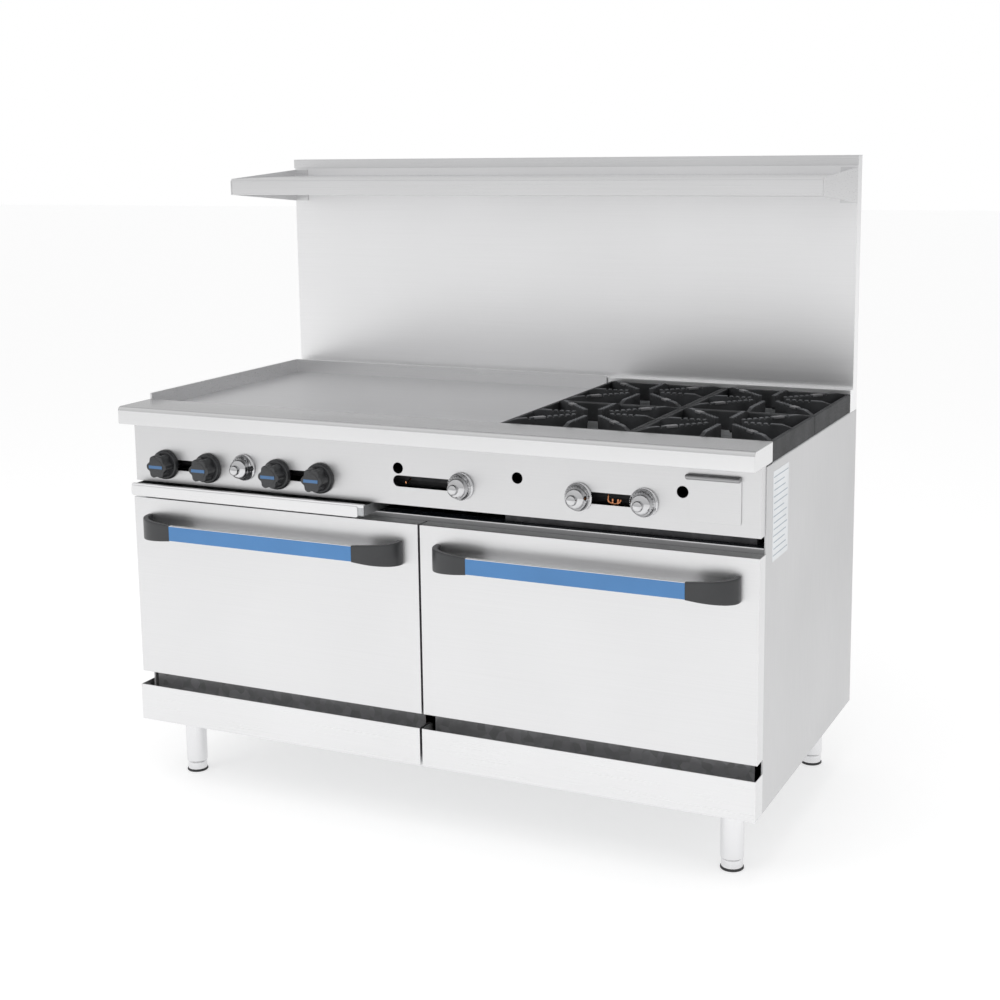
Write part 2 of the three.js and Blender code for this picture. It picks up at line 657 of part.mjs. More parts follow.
// A handle's end cap, from the bar's end round to the door's face. Its own origin is on the
// handle's centre line, where the bar ends.
function handleCap(name) {
  const reach = HANDLE_REACH - GAP;
  const plan = new THREE.Shape();
  plan.moveTo(GAP, -HANDLE_REACH);
  plan.lineTo(CAP_STRAIGHT, -HANDLE_REACH);
  plan.bezierCurveTo(
    CAP_STRAIGHT + (CAP_LENGTH - CAP_STRAIGHT) * CAP_FULLNESS, -HANDLE_REACH,
    CAP_LENGTH, -reach * CAP_FULLNESS,
    CAP_LENGTH, -GAP);
  plan.lineTo(CAP_LENGTH - CAP_FOOT, -GAP);
  plan.bezierCurveTo(
    CAP_LENGTH - CAP_FOOT, -(reach - CAP_WALL) * CAP_FULLNESS,
    CAP_STRAIGHT + (CAP_LENGTH - CAP_STRAIGHT - CAP_FOOT) * CAP_FULLNESS, -HANDLE_REACH + CAP_WALL,
    CAP_STRAIGHT - CAP_WALL / 2, -HANDLE_REACH + CAP_WALL);
  plan.lineTo(GAP, -HANDLE_REACH + CAP_WALL);
  const strip = alongZ(plan, -CAP_HEIGHT / 2, CAP_HEIGHT / 2);
  const face = outline([
    [0, -BAR_HEIGHT / 2],
    [CAP_TAPER, -CAP_HEIGHT / 2],
    [CAP_LENGTH + 1, -CAP_HEIGHT / 2],
    [CAP_LENGTH + 1, CAP_HEIGHT / 2],
    [CAP_TAPER, CAP_HEIGHT / 2],
    [0, BAR_HEIGHT / 2],
  ]);
  const window = alongY(face, -HANDLE_REACH - 1, 0);
  return piece(name, strip.intersect(window), BLACK_PLASTIC);
}

function handle(side) {
  const group = placed(new THREE.Group(), side * doorCentre, doorFront, doorTop - HANDLE_BELOW_TOP);
  const bar = block(
    [-barLength / 2, barLength / 2],
    [-HANDLE_REACH, -HANDLE_REACH + BAR_THICK],
    [-BAR_HEIGHT / 2, BAR_HEIGHT / 2]);
  group.add(piece(`handle_bar_${sideName(side)}`, bar, BLUE_PAINT));
  for (const end of [-1, 1]) {
    const cap = handleCap(`handle_cap_${sideName(side)}_${sideName(end)}`);
    placed(cap, end * barLength / 2, 0, 0);
    cap.rotation.y = end > 0 ? 0 : Math.PI;
    group.add(cap);
  }
  return group;
}

// ---------------------------------------------------------------- drip trays
function trayShell(x, front) {
  const bottom = ovenTop + GAP;
  const y = [front, front + BODY_DEPTH - TRAY_BACK_SPACE];
  const outer = block(x, y, [bottom, bottom + trayHeight]);
  const hollow = block(
    [x[0] + TRAY_WALL, x[1] - TRAY_WALL],
    [y[0] + TRAY_WALL, y[1] - TRAY_WALL],
    [bottom + TRAY_WALL, bottom + trayHeight + 1]);
  return cut(outer, hollow);
}

function leftTray() {
  const left = -half + LEFT_TRAY_EDGE;
  const right = -LEFT_TRAY_TO_MIDDLE;
  const front = bodyFront - LEFT_TRAY_PROUD;
  const lip = block(
    [left, right - TRAY_LIP_SHORT],
    [front, front + TRAY_WALL],
    [ovenTop - TRAY_LIP_DROP, ovenTop + GAP + trayHeight + TRAY_WALL]);
  return piece('drip_tray_left', join(trayShell([left, right], front), lip), BRIGHT_STEEL);
}

function rightTray() {
  const x = [RIGHT_TRAY_TO_MIDDLE, half - RIGHT_TRAY_EDGE];
  const shell = trayShell(x, bodyFront + RIGHT_TRAY_SETBACK);
  return piece('drip_tray_right', shell, GALVANISED);
}

// ---------------------------------------------------------------- control panel
function lightingSlot(from, to, z) {
  const radius = LIGHTING_SLOT_HEIGHT / 2;
  const y = [panelFront - 1, panelFront + SHEET + 1];
  return join(
    block([from, to], y, [z - radius, z + radius]),
    rod('y', radius, [from, z], y[0], y[1], LEG_SIDES),
    rod('y', radius, [to, z], y[0], y[1], LEG_SIDES));
}

// The long rounded slots through which the pilots are lit.
function lightingSlots() {
  const knobZ = panelBottom + KNOB_HEIGHT;
  const dialZ = panelBottom + DIAL_HEIGHT;
  const radius = LIGHTING_SLOT_HEIGHT / 2;
  const clear = SLOT_TO_SHAFT + radius;
  const [knobA, knobB, knobC, knobD] = knobPlaces;
  const [, griddleDial, ovenDialA, ovenDialB] = dialPlaces;
  return [
    lightingSlot(knobA + clear, knobB - clear, knobZ),
    lightingSlot(knobC + clear, knobD - clear, knobZ),
    lightingSlot(griddleDial - LONG_SLOT_REACH + radius, griddleDial - clear, dialZ),
    lightingSlot(ovenDialA + clear, ovenDialB - clear, dialZ),
  ];
}

function shaftHole(x, z) {
  return rod('y', SHAFT_RADIUS + SHAFT_CLEAR, [x, z], panelFront - 1, panelFront + SHEET + 1);
}

function controlPanel() {
  const end = half - PANEL_INSET;
  const outer = block([-end, end], [panelFront, bodyFront - GAP], [panelBottom, panelTop]);
  const hollow = block(
    [-end + SHEET, end - SHEET],
    [panelFront + SHEET, bodyFront],
    [panelBottom + SHEET, panelTop - SHEET]);
  const topFlange = block([-end, end], [panelFront, railBack], [panelTop - SHEET, panelTop]);
  const holes = [
    ...knobPlaces.map((x) => shaftHole(x, panelBottom + KNOB_HEIGHT)),
    ...dialPlaces.map((x) => shaftHole(x, panelBottom + DIAL_HEIGHT)),
    ...sightHolePlaces.map((x) => rod(
      'y', SIGHT_HOLE_RADIUS, [x, panelBottom + SIGHT_HOLE_HEIGHT],
      panelFront - 1, panelFront + SHEET + 1, LEG_SIDES)),
  ];
  const body = cut(join(cut(outer, hollow), topFlange), ...holes, ...lightingSlots());
  return piece('control_panel', body, BRIGHT_STEEL);
}

function serviceCover() {
  const right = half - COVER_RIGHT;
  const bottom = panelBottom + COVER_LIFT;
  const top = bottom + COVER_HEIGHT;
  const back = panelFront - GAP;
  const plate = block([right - COVER_WIDTH, right], [back - COVER_THICK, back], [bottom, top]);
  const tab = block(
    [right - COVER_WIDTH - COVER_TAB_EXTRA, right],
    [back - COVER_TAB_REACH, back],
    [top - COVER_TAB_HEIGHT, top]);
  return piece('service_cover', join(plate, tab), BRIGHT_STEEL);
}

const valveFront = panelFront + VALVE_CLEAR;
const shaftLength = VALVE_CLEAR - GAP;

// A burner knob: round skirt, lobed grip and the shaft that turns the valve. Its own origin is on
// the panel's face.
function knob(name, x) {
  const grip = [];
  const steps = KNOB_LOBES * LOBE_SIDES;
  for (let step = 0; step < steps; step += 1) {
    const angle = (step / steps) * 2 * Math.PI;
    const radius = KNOB_RADIUS - KNOB_LOBE_DEPTH * (1 - Math.cos(angle * KNOB_LOBES)) / 2;
    grip.push([radius * Math.cos(angle), radius * Math.sin(angle)]);
  }
  const body = join(
    turnedForward([
      [0, KNOB_STANDOFF],
      [SKIRT_RADIUS, KNOB_STANDOFF],
      [SKIRT_RADIUS - SKIRT_SLOPE, SKIRT_DEPTH],
      [0, SKIRT_DEPTH],
    ], ROUND_SIDES),
    alongY(outline(grip), -KNOB_DEPTH, -SKIRT_DEPTH + 1),
    rod('y', SHAFT_RADIUS, [0, 0], -KNOB_STANDOFF - 1, shaftLength));
  return placed(piece(name, body, BLACK_PLASTIC), x, panelFront, panelBottom + KNOB_HEIGHT);
}

// A thermostat dial: a broad ring, a dome and a small round nose.
function dial(name, x) {
  const body = join(
    turnedForward([
      [0, KNOB_STANDOFF],
      [DIAL_RADIUS, KNOB_STANDOFF],
      [DIAL_RADIUS, DIAL_RING_DEPTH],
      [DIAL_DOME_RADIUS + DIAL_SLOPE, DIAL_RING_DEPTH + DIAL_SLOPE],
      [DIAL_DOME_RADIUS, DIAL_DOME_DEPTH],
      [DIAL_NOSE_RADIUS + DIAL_SLOPE, DIAL_WAIST_DEPTH],
      [DIAL_NOSE_RADIUS, DIAL_NOSE_START],
      [DIAL_NOSE_RADIUS, DIAL_DEPTH - DIAL_EDGE],
      [DIAL_NOSE_RADIUS - DIAL_EDGE, DIAL_DEPTH],
      [0, DIAL_DEPTH],
    ], ROUND_SIDES),
    rod('y', SHAFT_RADIUS, [0, 0], -KNOB_STANDOFF - 1, shaftLength));
  return placed(piece(name, body, CHROME), x, panelFront, panelBottom + DIAL_HEIGHT);
}

function controls() {
  const group = new THREE.Group();
  knobPlaces.forEach((x, index) => group.add(knob(`burner_knob_${index + 1}`, x)));
  dialPlaces.forEach((x, index) => group.add(dial(`thermostat_dial_${index + 1}`, x)));
  return group;
}

// The gas manifold: the pipe behind the panel with a valve for each control, the inlet pipe to the
// back of the range, and the pipe that drops behind the ovens to their burners.
function gasManifold() {
  const firstX = Math.min(...knobPlaces) - MANIFOLD_RADIUS * 2;
  const pipe = rod('x', MANIFOLD_RADIUS, [manifoldY, manifoldZ], firstX, inletX + INLET_RADIUS);
  const valve = (x, z) => rod('y', VALVE_RADIUS, [x, z], valveFront, manifoldY);
  const valves = [
    ...knobPlaces.map((x) => valve(x, panelBottom + KNOB_HEIGHT)),
    ...dialPlaces.map((x) => valve(x, panelBottom + DIAL_HEIGHT)),
  ];
  const inlet = rod('y', INLET_RADIUS, [inletX, manifoldZ], manifoldY, bodyBack);
  const dropY = bodyBack - OVEN_PIPE_BEHIND;
  const drop = rod('z', OVEN_PIPE_RADIUS, [inletX, dropY], ovenTubeZ - OVEN_PIPE_RADIUS, manifoldZ);
  const ovenPipe = rod('x', OVEN_PIPE_RADIUS, [dropY, ovenTubeZ], -ovenCentre - OVEN_PIPE_RADIUS, inletX);
  const jets = [-1, 1].map(
    (side) => rod('y', OVEN_PIPE_RADIUS - 1, [side * ovenCentre, ovenTubeZ], cavityBack + GAP, dropY));
  return piece('gas_manifold', join(pipe, ...valves, inlet, drop, ovenPipe, ...jets), IRON_PIPE);
}

// ---------------------------------------------------------------- front rail
function railShape(inset) {
  const front = railFront + inset;
  const back = railBack - inset;
  const top = railTop - inset;
  const bottom = panelTop + GAP - (inset > 0 ? 1 : 0);
  const radius = RAIL_ROUND - inset;
  const shape = new THREE.Shape();
  shape.moveTo(front, bottom);
  shape.lineTo(back, bottom);
  shape.lineTo(back, top);
  shape.lineTo(front + radius, top);
  shape.absarc(front + radius, top - radius, radius, Math.PI / 2, Math.PI, false);
  return shape;
}

function frontRail() {
  const bottom = panelTop + GAP;
  const outer = alongX(railShape(0), -half, half);
  const hollow = alongX(railShape(SHEET), -half + SHEET, half - SHEET);
  const hem = block(
    [-half + SHEET / 2, half - SHEET / 2],
    [railFront + SHEET / 2, railFront + SHEET + RAIL_HEM],
    [bottom, bottom + SHEET]);
  return piece('front_rail', join(cut(outer, hollow), hem), BRIGHT_STEEL);
}

// ---------------------------------------------------------------- griddle
const griddleX = [-half + SPLASH_THICK + GAP, griddleRight - SPLASH_THICK - GAP];
const griddleBack = cooktopBack - SPLASH_THICK - GAP;
const plateBottom = griddleTop - GRIDDLE_THICK;
const troughBottom = griddleTop - TROUGH_DEPTH;
const troughBack = cooktopFront + TROUGH_WIDTH;

// The griddle plate with the grease trough along its front and the drain spout under the trough.
function griddlePlate() {
  const section = outline([
    [cooktopFront, troughBottom],
    [troughBack + TROUGH_WALL, troughBottom],
    [troughBack + TROUGH_WALL, plateBottom],
    [griddleBack, plateBottom],
    [griddleBack, griddleTop],
    [troughBack, griddleTop],
    [troughBack, troughBottom + TROUGH_WALL],
    [cooktopFront + TROUGH_WALL, troughBottom + TROUGH_WALL],
    [cooktopFront + TROUGH_WALL, griddleTop],
    [cooktopFront, griddleTop],
  ]);
  const plate = alongX(section, griddleX[0], griddleX[1]);
  const ends = [griddleX[0], griddleX[1] - TROUGH_WALL].map((x) => block(
    [x, x + TROUGH_WALL],
    [cooktopFront + TROUGH_WALL / 2, troughBack + TROUGH_WALL / 2],
    [troughBottom + TROUGH_WALL / 2, griddleTop - TROUGH_END_DROP]));
  const drainX = -half + DRAIN_FROM_SIDE;
  const drainY = (cooktopFront + troughBack + TROUGH_WALL) / 2;
  const spoutBottom = troughBottom + TROUGH_WALL - DRAIN_LENGTH;
  const spout = rod(
    'z', DRAIN_RADIUS + TROUGH_WALL, [drainX, drainY], spoutBottom, troughBottom + TROUGH_WALL, LEG_SIDES);
  const bore = rod(
    'z', DRAIN_RADIUS, [drainX, drainY], spoutBottom - 1, troughBottom + TROUGH_WALL + 1, LEG_SIDES);
  return piece('griddle_plate', cut(join(plate, ...ends, spout), bore), GRIDDLE_STEEL);
}

// Splash walls on the griddle's left and back, and the low divider on its right.
function griddleSplash() {
  const bottom = sideTop + GAP;
  const top = railTop + SPLASH_RISE;
  const y = [cooktopFront, cooktopBack];
  const left = block([-half, -half + SPLASH_THICK], y, [bottom, top]);
  const back = block([-half, griddleRight], [cooktopBack - SPLASH_THICK, cooktopBack], [bottom, top]);
  const divider = block([griddleRight - SPLASH_THICK, griddleRight], y, [bottom, griddleTop + DIVIDER_RISE]);
  return piece('griddle_splash', join(left, back, divider), BRIGHT_STEEL);
}

// U-shaped tube burners under the plate, tied together by two cross tubes.
function griddleBurner() {
  const z = plateBottom - GRIDDLE_TUBE_CLEAR;
  const front = troughBack + TROUGH_WALL * 3;
  const back = griddleBack - TROUGH_WIDTH;
  const pitch = (griddleX[1] - griddleX[0]) / GRIDDLE_BURNERS;
  const tubes = [];
  for (let index = 0; index < GRIDDLE_BURNERS; index += 1) {
    const x = griddleX[0] + pitch * (index + 0.5);
    for (const end of [-1, 1]) {
      tubes.push(rod('y', GRIDDLE_TUBE_RADIUS, [x + end * GRIDDLE_TUBE_SPACING / 2, z], front, back));
    }
  }
  const reach = pitch / 2 + GRIDDLE_TUBE_SPACING / 2;
  const cross = [front + TROUGH_WIDTH, back - TROUGH_WIDTH].map((y) => rod(
    'x', GRIDDLE_CROSS_RADIUS, [y, z],
    griddleX[0] + pitch / 2 - GRIDDLE_TUBE_SPACING / 2,
    griddleX[1] - pitch / 2 + GRIDDLE_TUBE_SPACING / 2));
  const stands = [griddleX[0] + pitch - reach / 4, griddleX[1] - pitch + reach / 4].map((x) => block(
    [x, x + SHEET],
    [front + TROUGH_WIDTH / 2, back - TROUGH_WIDTH / 2],
    [z - GRIDDLE_TUBE_RADIUS, z + SHEET]));
  return piece('griddle_burner', join(...tubes, ...cross, ...stands), IRON_PIPE);
}

// ---------------------------------------------------------------- open burners and grates
const deckX = [griddleRight + GAP, half];
const deckRimTop = sideTop + GAP + SHEET;
const deckFloor = deckRimTop - DECK_DEPTH;
const grateBottom = deckRimTop + GAP;
const grateWidth = (deckX[1] - deckX[0] - DECK_RIM / 2 - GRATE_SPLIT) / 2;
const grateDepth = (cooktopBack - cooktopFront - GRATE_SPLIT) / 2;

// Centre of a grate, and of the burner under it. Column and row are 0 or 1.
function grateCentre(column, row) {
  return [
    half - grateWidth / 2 - (1 - column) * (grateWidth + GRATE_SPLIT),
    cooktopFront + grateDepth / 2 + row * (grateDepth + GRATE_SPLIT),
  ];
}

const grateSpots = [[0, 0], [1, 0], [0, 1], [1, 1]];

// The pressed tray under the grates, hung by its rim.
function burnerDeck() {
  const rim = block(deckX, [cooktopFront, cooktopBack], [deckRimTop - SHEET, deckRimTop]);
  const wellX = [deckX[0] + DECK_RIM, half - SIDE_THICK - DECK_RIM];
  const wellY = [cooktopFront + DECK_RIM, cooktopBack - DECK_RIM];
  const well = block(
    [wellX[0] - SHEET, wellX[1] + SHEET], [wellY[0] - SHEET, wellY[1] + SHEET],
    [deckFloor - SHEET, deckRimTop - SHEET / 2]);
  const hollow = block(wellX, wellY, [deckFloor, deckRimTop + 1]);
  const holes = grateSpots.map(([column, row]) => rod(
    'z', BURNER_NECK_RADIUS + BURNER_HOLE_CLEAR, grateCentre(column, row),
    deckFloor - SHEET - 1, deckFloor + 1, ROUND_SIDES));
  return piece('burner_deck', cut(join(rim, well), hollow, ...holes), SATIN_STEEL);
}

// A cast burner: flanged head on a neck through the deck, and the mixing tube to the manifold. Its
// own origin is on its axis, at the deck's floor.
function openBurner(name, column, row) {
  const [x, y] = grateCentre(column, row);
  const head = turned([
    [0, -BURNER_DROP],
    [BURNER_NECK_RADIUS, -BURNER_DROP],
    [BURNER_NECK_RADIUS, GAP],
    [BURNER_RADIUS, GAP],
    [BURNER_RADIUS, BURNER_BOWL_RISE],
    [BURNER_CAP_RADIUS, BURNER_CAP_START],
    [BURNER_CAP_RADIUS, BURNER_RISE - BURNER_EDGE],
    [BURNER_CAP_RADIUS - BURNER_EDGE, BURNER_RISE],
    [0, BURNER_RISE],
  ], ROUND_SIDES);
  const tubeZ = -BURNER_DROP + VENTURI_RADIUS / 2;
  const mouth = manifoldY + MANIFOLD_RADIUS + VENTURI_TO_PIPE - y;
  const aside = row * VENTURI_SIDESTEP;
  const tube = rod('y', VENTURI_RADIUS, [aside, tubeZ], mouth, row > 0 ? VENTURI_RADIUS : 0);
  const elbow = rod('x', VENTURI_RADIUS, [0, tubeZ], 0, VENTURI_SIDESTEP);
  const body = row > 0 ? join(head, tube, elbow) : join(head, tube);
  return placed(piece(name, body, CAST_IRON), x, y, deckFloor);
}

// A cast grate: a rectangular skirt with four corner fingers and four side fingers that stop
// around an open middle. Its own origin is at its centre, on its underside.
function grate(name, column, row) {
  const [x, y] = grateCentre(column, row);
  const across = grateWidth / 2;
  const along = grateDepth / 2;
  const ring = cut(
    block([-across, across], [-along, along], [0, GRATE_SKIRT]),
    block(
      [-across + GRATE_WALL, across - GRATE_WALL],
      [-along + GRATE_WALL, along - GRATE_WALL],
      [-1, GRATE_SKIRT + 1]));
  const fingerZ = [GRATE_HEIGHT - GRATE_FINGER_HEIGHT, GRATE_HEIGHT];
  const reach = Math.hypot(across, along);
  const fingers = [];
  for (let index = 0; index < 8; index += 1) {
    const diagonal = index % 2 === 1;
    const towardX = [across, 0, -across, 0][index >> 1];
    const towardY = [0, along, 0, -along][index >> 1];
    const length = diagonal ? reach : Math.hypot(towardX, towardY);
    const bar = new THREE.BoxGeometry(length - GRATE_EYE, GRATE_FINGER, fingerZ[1] - fingerZ[0]);
    bar.translate((length + GRATE_EYE) / 2 - GRATE_WALL / 2, 0, (fingerZ[0] + fingerZ[1]) / 2);
    const corner = Math.atan2(along, across);
    const quarter = index >> 1;
    const turn = diagonal
      ? [corner, Math.PI - corner, Math.PI + corner, -corner][quarter]
      : quarter * Math.PI / 2;
    bar.rotateZ(turn);
    fingers.push(solid(bar));
  }
  const bounds = block([-across, across], [-along, along], [0, GRATE_HEIGHT]);
  const body = join(ring, ...fingers).intersect(bounds);
  return placed(piece(name, body, CAST_IRON), x, y, grateBottom);
}

function openBurners() {
  const group = new THREE.Group();
  grateSpots.forEach(([column, row], index) => {
    group.add(openBurner(`open_burner_${index + 1}`, column, row));
    group.add(grate(`burner_grate_${index + 1}`, column, row));
  });
  return group;
}

// ---------------------------------------------------------------- back guard and shelf
function guardShape(inset) {
  const bottom = sideTop + GAP - (inset > 0 ? 1 : 0);
  const step = railTop + FLUE_STEP_RISE;
  return outline([
    [flueFront + inset, bottom],
    [bodyBack - inset, bottom],
    [bodyBack - inset, guardTop - inset],
    [guardFront + inset, guardTop - inset],
    [guardFront + inset, step - inset],
    [flueFront + inset, step - inset],
  ]);
}

// The back guard is also the flue: open below, with louvres in its back near the top.
function backGuard() {
  const outer = alongX(guardShape(0), -half, half);
  const hollow = alongX(guardShape(SHEET), -half + SHEET, half - SHEET);
  const louvres = [];
  const z = guardTop - LOUVRE_BELOW_TOP;
  for (let index = 0; index < LOUVRE_COUNT; index += 1) {
    const x = (index - (LOUVRE_COUNT - 1) / 2) * LOUVRE_STEP;
    louvres.push(block(
      [x - LOUVRE_WIDTH / 2, x + LOUVRE_WIDTH / 2],
      [bodyBack - SHEET - 1, bodyBack + 1],
      [z - LOUVRE_HEIGHT / 2, z + LOUVRE_HEIGHT / 2]));
  }
  return piece('back_guard', cut(outer, hollow, ...louvres), BRIGHT_STEEL);
}

const shelfFront = guardFront - SHELF_DEPTH;
const shelfBack = guardFront - GAP - BRACKET_THICK - GAP;

function shelf() {
  const lipBottom = shelfTop - SHELF_LIP;
  const shape = new THREE.Shape();
  shape.moveTo(shelfFront, lipBottom);
  shape.lineTo(shelfFront + SHELF_HEM, lipBottom);
  shape.lineTo(shelfFront + SHELF_HEM, lipBottom + SHEET);
  shape.lineTo(shelfFront + SHEET, lipBottom + SHEET);
  shape.lineTo(shelfFront + SHEET, shelfTop - SHELF_ROUND);
  const inner = SHELF_ROUND - SHEET;
  shape.absarc(
    shelfFront + SHELF_ROUND, shelfTop - SHELF_ROUND, inner, Math.PI, Math.PI / 2, true);
  shape.lineTo(shelfBack - SHEET, shelfTop - SHEET);
  shape.lineTo(shelfBack - SHEET, lipBottom);
  shape.lineTo(shelfBack, lipBottom);
  shape.lineTo(shelfBack, shelfTop);
  shape.lineTo(shelfFront + SHELF_ROUND, shelfTop);
  shape.absarc(
    shelfFront + SHELF_ROUND, shelfTop - SHELF_ROUND, SHELF_ROUND, Math.PI / 2, Math.PI, false);
  const end = half - BRACKET_THICK - GAP;
  return piece('shelf', alongX(shape, -end, end), BRIGHT_STEEL);
}

// A shelf end bracket: an upright gusset with a flange turned in against the guard.
function shelfBracket(side) {
  const back = guardFront - GAP;
  const top = shelfTop + BRACKET_RISE;
  const bottom = shelfTop - BRACKET_DROP;
  const gussetShape = outline([
    [shelfFront, shelfTop - SHELF_LIP],
    [back, bottom],
    [back, top],
    [shelfFront + SHELF_ROUND, shelfTop],
    [shelfFront, shelfTop - SHELF_ROUND],
  ]);
  const plateX = span(side, half - BRACKET_THICK, half);
  const flangeX = span(side, half - BRACKET_FLANGE, half);
  const body = join(
    alongX(gussetShape, plateX[0], plateX[1]),
    block(flangeX, [back - BRACKET_THICK, back], [bottom, top]));
  return piece(`shelf_bracket_${sideName(side)}`, body, BRIGHT_STEEL);
}

// ---------------------------------------------------------------- assembly
function cabinet() {
  const group = new THREE.Group();
  for (const side of [-1, 1]) {
    group.add(sidePanel(side), kickPanel(side));
  }
  group.add(backPanel(), basePan(), frontRail(), backGuard());
  return group;
}

function oven(side) {
  const group = new THREE.Group();
  group.add(ovenLiner(side), rack(side), ovenBurner(side));
  group.add(doorSkin(side), doorLiner(side), handle(side));
  return group;
}

function controlFront() {
  const group = new THREE.Group();
  group.add(controlPanel(), serviceCover(), controls(), gasManifold(), leftTray(), rightTray());
  return group;
}

function cooktop() {
  const group = new THREE.Group();
  group.add(griddlePlate(), griddleSplash(), griddleBurner(), burnerDeck(), openBurners());
  return group;
}

function highShelf() {
  const group = new THREE.Group();
  group.add(shelf(), shelfBracket(-1), shelfBracket(1));
  return group;
}

const range = new THREE.Group();
range.add(cabinet(), legs(), oven(-1), oven(1), controlFront(), cooktop(), highShelf());

export default range;
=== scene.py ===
# %% [markdown]
# # A commercial gas range
# The range is a folded steel cabinet on four legs: two ovens, a griddle, four cast iron grates, a
# back guard and a high shelf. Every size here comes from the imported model, so this script only
# finishes surfaces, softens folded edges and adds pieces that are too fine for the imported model.

# %% Load the frame
import json
import math
import bpy
import bmesh
from mathutils import Matrix, Vector

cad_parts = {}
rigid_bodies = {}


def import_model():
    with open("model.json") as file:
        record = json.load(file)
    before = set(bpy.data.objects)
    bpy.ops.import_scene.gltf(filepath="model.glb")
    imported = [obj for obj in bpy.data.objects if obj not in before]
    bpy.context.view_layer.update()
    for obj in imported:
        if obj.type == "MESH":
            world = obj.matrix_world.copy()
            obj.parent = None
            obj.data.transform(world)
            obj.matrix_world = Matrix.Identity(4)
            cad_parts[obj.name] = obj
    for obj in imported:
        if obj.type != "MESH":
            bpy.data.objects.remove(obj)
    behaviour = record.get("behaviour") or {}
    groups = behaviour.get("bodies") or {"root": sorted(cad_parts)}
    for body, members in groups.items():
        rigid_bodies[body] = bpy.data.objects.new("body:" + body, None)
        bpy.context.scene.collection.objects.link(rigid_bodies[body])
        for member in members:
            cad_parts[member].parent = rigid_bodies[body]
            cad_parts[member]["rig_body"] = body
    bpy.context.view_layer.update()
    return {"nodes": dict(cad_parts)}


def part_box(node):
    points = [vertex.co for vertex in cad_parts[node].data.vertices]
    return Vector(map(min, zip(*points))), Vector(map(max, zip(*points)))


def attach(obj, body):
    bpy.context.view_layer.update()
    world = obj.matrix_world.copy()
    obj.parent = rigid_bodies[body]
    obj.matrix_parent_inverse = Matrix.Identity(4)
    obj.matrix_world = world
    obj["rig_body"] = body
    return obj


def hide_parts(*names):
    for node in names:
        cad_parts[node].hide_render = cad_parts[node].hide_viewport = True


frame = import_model()
nodes = frame["nodes"]

MM = 0.001
SIDES = ("left", "right")


def middle(node):
    """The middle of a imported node's box."""
    low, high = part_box(node)
    return (Vector(low) + Vector(high)) / 2


# %% [markdown]
# ## The camera and the light
# A product picture of a wide steel appliance is taken with a long lens from its right, a little
# above the worktop, and the lens is shifted so that the uprights stay nearly parallel. Steel shows
# what it reflects, so the light is a pale room with a few very large soft panels.

# %% Camera
CAMERA_PLACE = (1.6449, -3.3905, 1.5195)
CAMERA_YAW = 0.4489
CAMERA_PITCH = 0.1683
CAMERA_ROLL = 0.0138

lens = bpy.data.cameras.new("studio_camera")
lens.lens = 58.64
lens.sensor_width = 36
lens.shift_x = 0.0048
lens.shift_y = -0.0838
camera = bpy.data.objects.new("studio_camera", lens)
turn = (
    Matrix.Rotation(CAMERA_YAW, 4, "Z")
    @ Matrix.Rotation(math.pi / 2 - CAMERA_PITCH, 4, "X")
    @ Matrix.Rotation(-CAMERA_ROLL, 4, "Z")
)
camera.matrix_world = Matrix.Translation(CAMERA_PLACE) @ turn
bpy.context.scene.collection.objects.link(camera)
bpy.context.scene.camera = camera
bpy.context.scene.view_settings.view_transform = "Standard"
print("camera looks from", CAMERA_PLACE)

# %% Room and lamps
ROOM_LEVEL = 0.80
world = bpy.data.worlds.new("pale_room")
bpy.context.scene.world = world
world.use_nodes = True
room = world.node_tree
room_light = room.nodes["Background"]
gradient = room.nodes.new("ShaderNodeTexGradient")
coordinates = room.nodes.new("ShaderNodeTexCoord")
swing = room.nodes.new("ShaderNodeMapping")
swing.inputs["Rotation"].default_value = (0, math.radians(90), 0)
swing.inputs["Location"].default_value = (0.5, 0, 0)
swing.inputs["Scale"].default_value = (0.5, 0.5, 0.5)
ramp = room.nodes.new("ShaderNodeValToRGB")
ramp.color_ramp.elements[0].color = (0.62, 0.62, 0.63, 1)
ramp.color_ramp.elements[1].color = (1, 1, 1, 1)
room.links.new(coordinates.outputs["Generated"], swing.inputs["Vector"])
room.links.new(swing.outputs["Vector"], gradient.inputs["Vector"])
room.links.new(gradient.outputs["Color"], ramp.inputs["Fac"])
room.links.new(ramp.outputs["Color"], room_light.inputs["Color"])
room_light.inputs["Strength"].default_value = ROOM_LEVEL
backdrop = room.nodes.new("ShaderNodeBackground")
backdrop.inputs["Color"].default_value = (1, 1, 1, 1)
backdrop.inputs["Strength"].default_value = 1.0
rays = room.nodes.new("ShaderNodeLightPath")
split = room.nodes.new("ShaderNodeMixShader")
room.links.new(rays.outputs["Is Camera Ray"], split.inputs["Fac"])
room.links.new(room_light.outputs["Background"], split.inputs[1])
room.links.new(backdrop.outputs["Background"], split.inputs[2])
room.links.new(split.outputs["Shader"], room.nodes["World Output"].inputs["Surface"])


def softbox(name, place, aim, size, power):
    """A large square lamp that faces a point."""
    lamp = bpy.data.lights.new(name, "AREA")
    lamp.size = size
    lamp.energy = power
    holder = bpy.data.objects.new(name, lamp)
    holder.location = place
    holder.rotation_euler = (Vector(aim) - Vector(place)).to_track_quat("-Z", "Y").to_euler()
    holder.visible_glossy = False
    bpy.context.scene.collection.objects.link(holder)
    return holder


softbox("front_left_box", (-2.6, -3.4, 2.6), (0, 0, 0.7), 2.4, 40)
softbox("top_box", (0.2, -0.8, 3.6), (0, 0.1, 0.9), 2.6, 40)
softbox("right_box", (3.6, -1.2, 2.0), (0.5, 0, 0.6), 2.0, 6)
softbox("low_front_box", (0.2, -4.2, 0.9), (0, 0, 0.5), 2.0, 12)

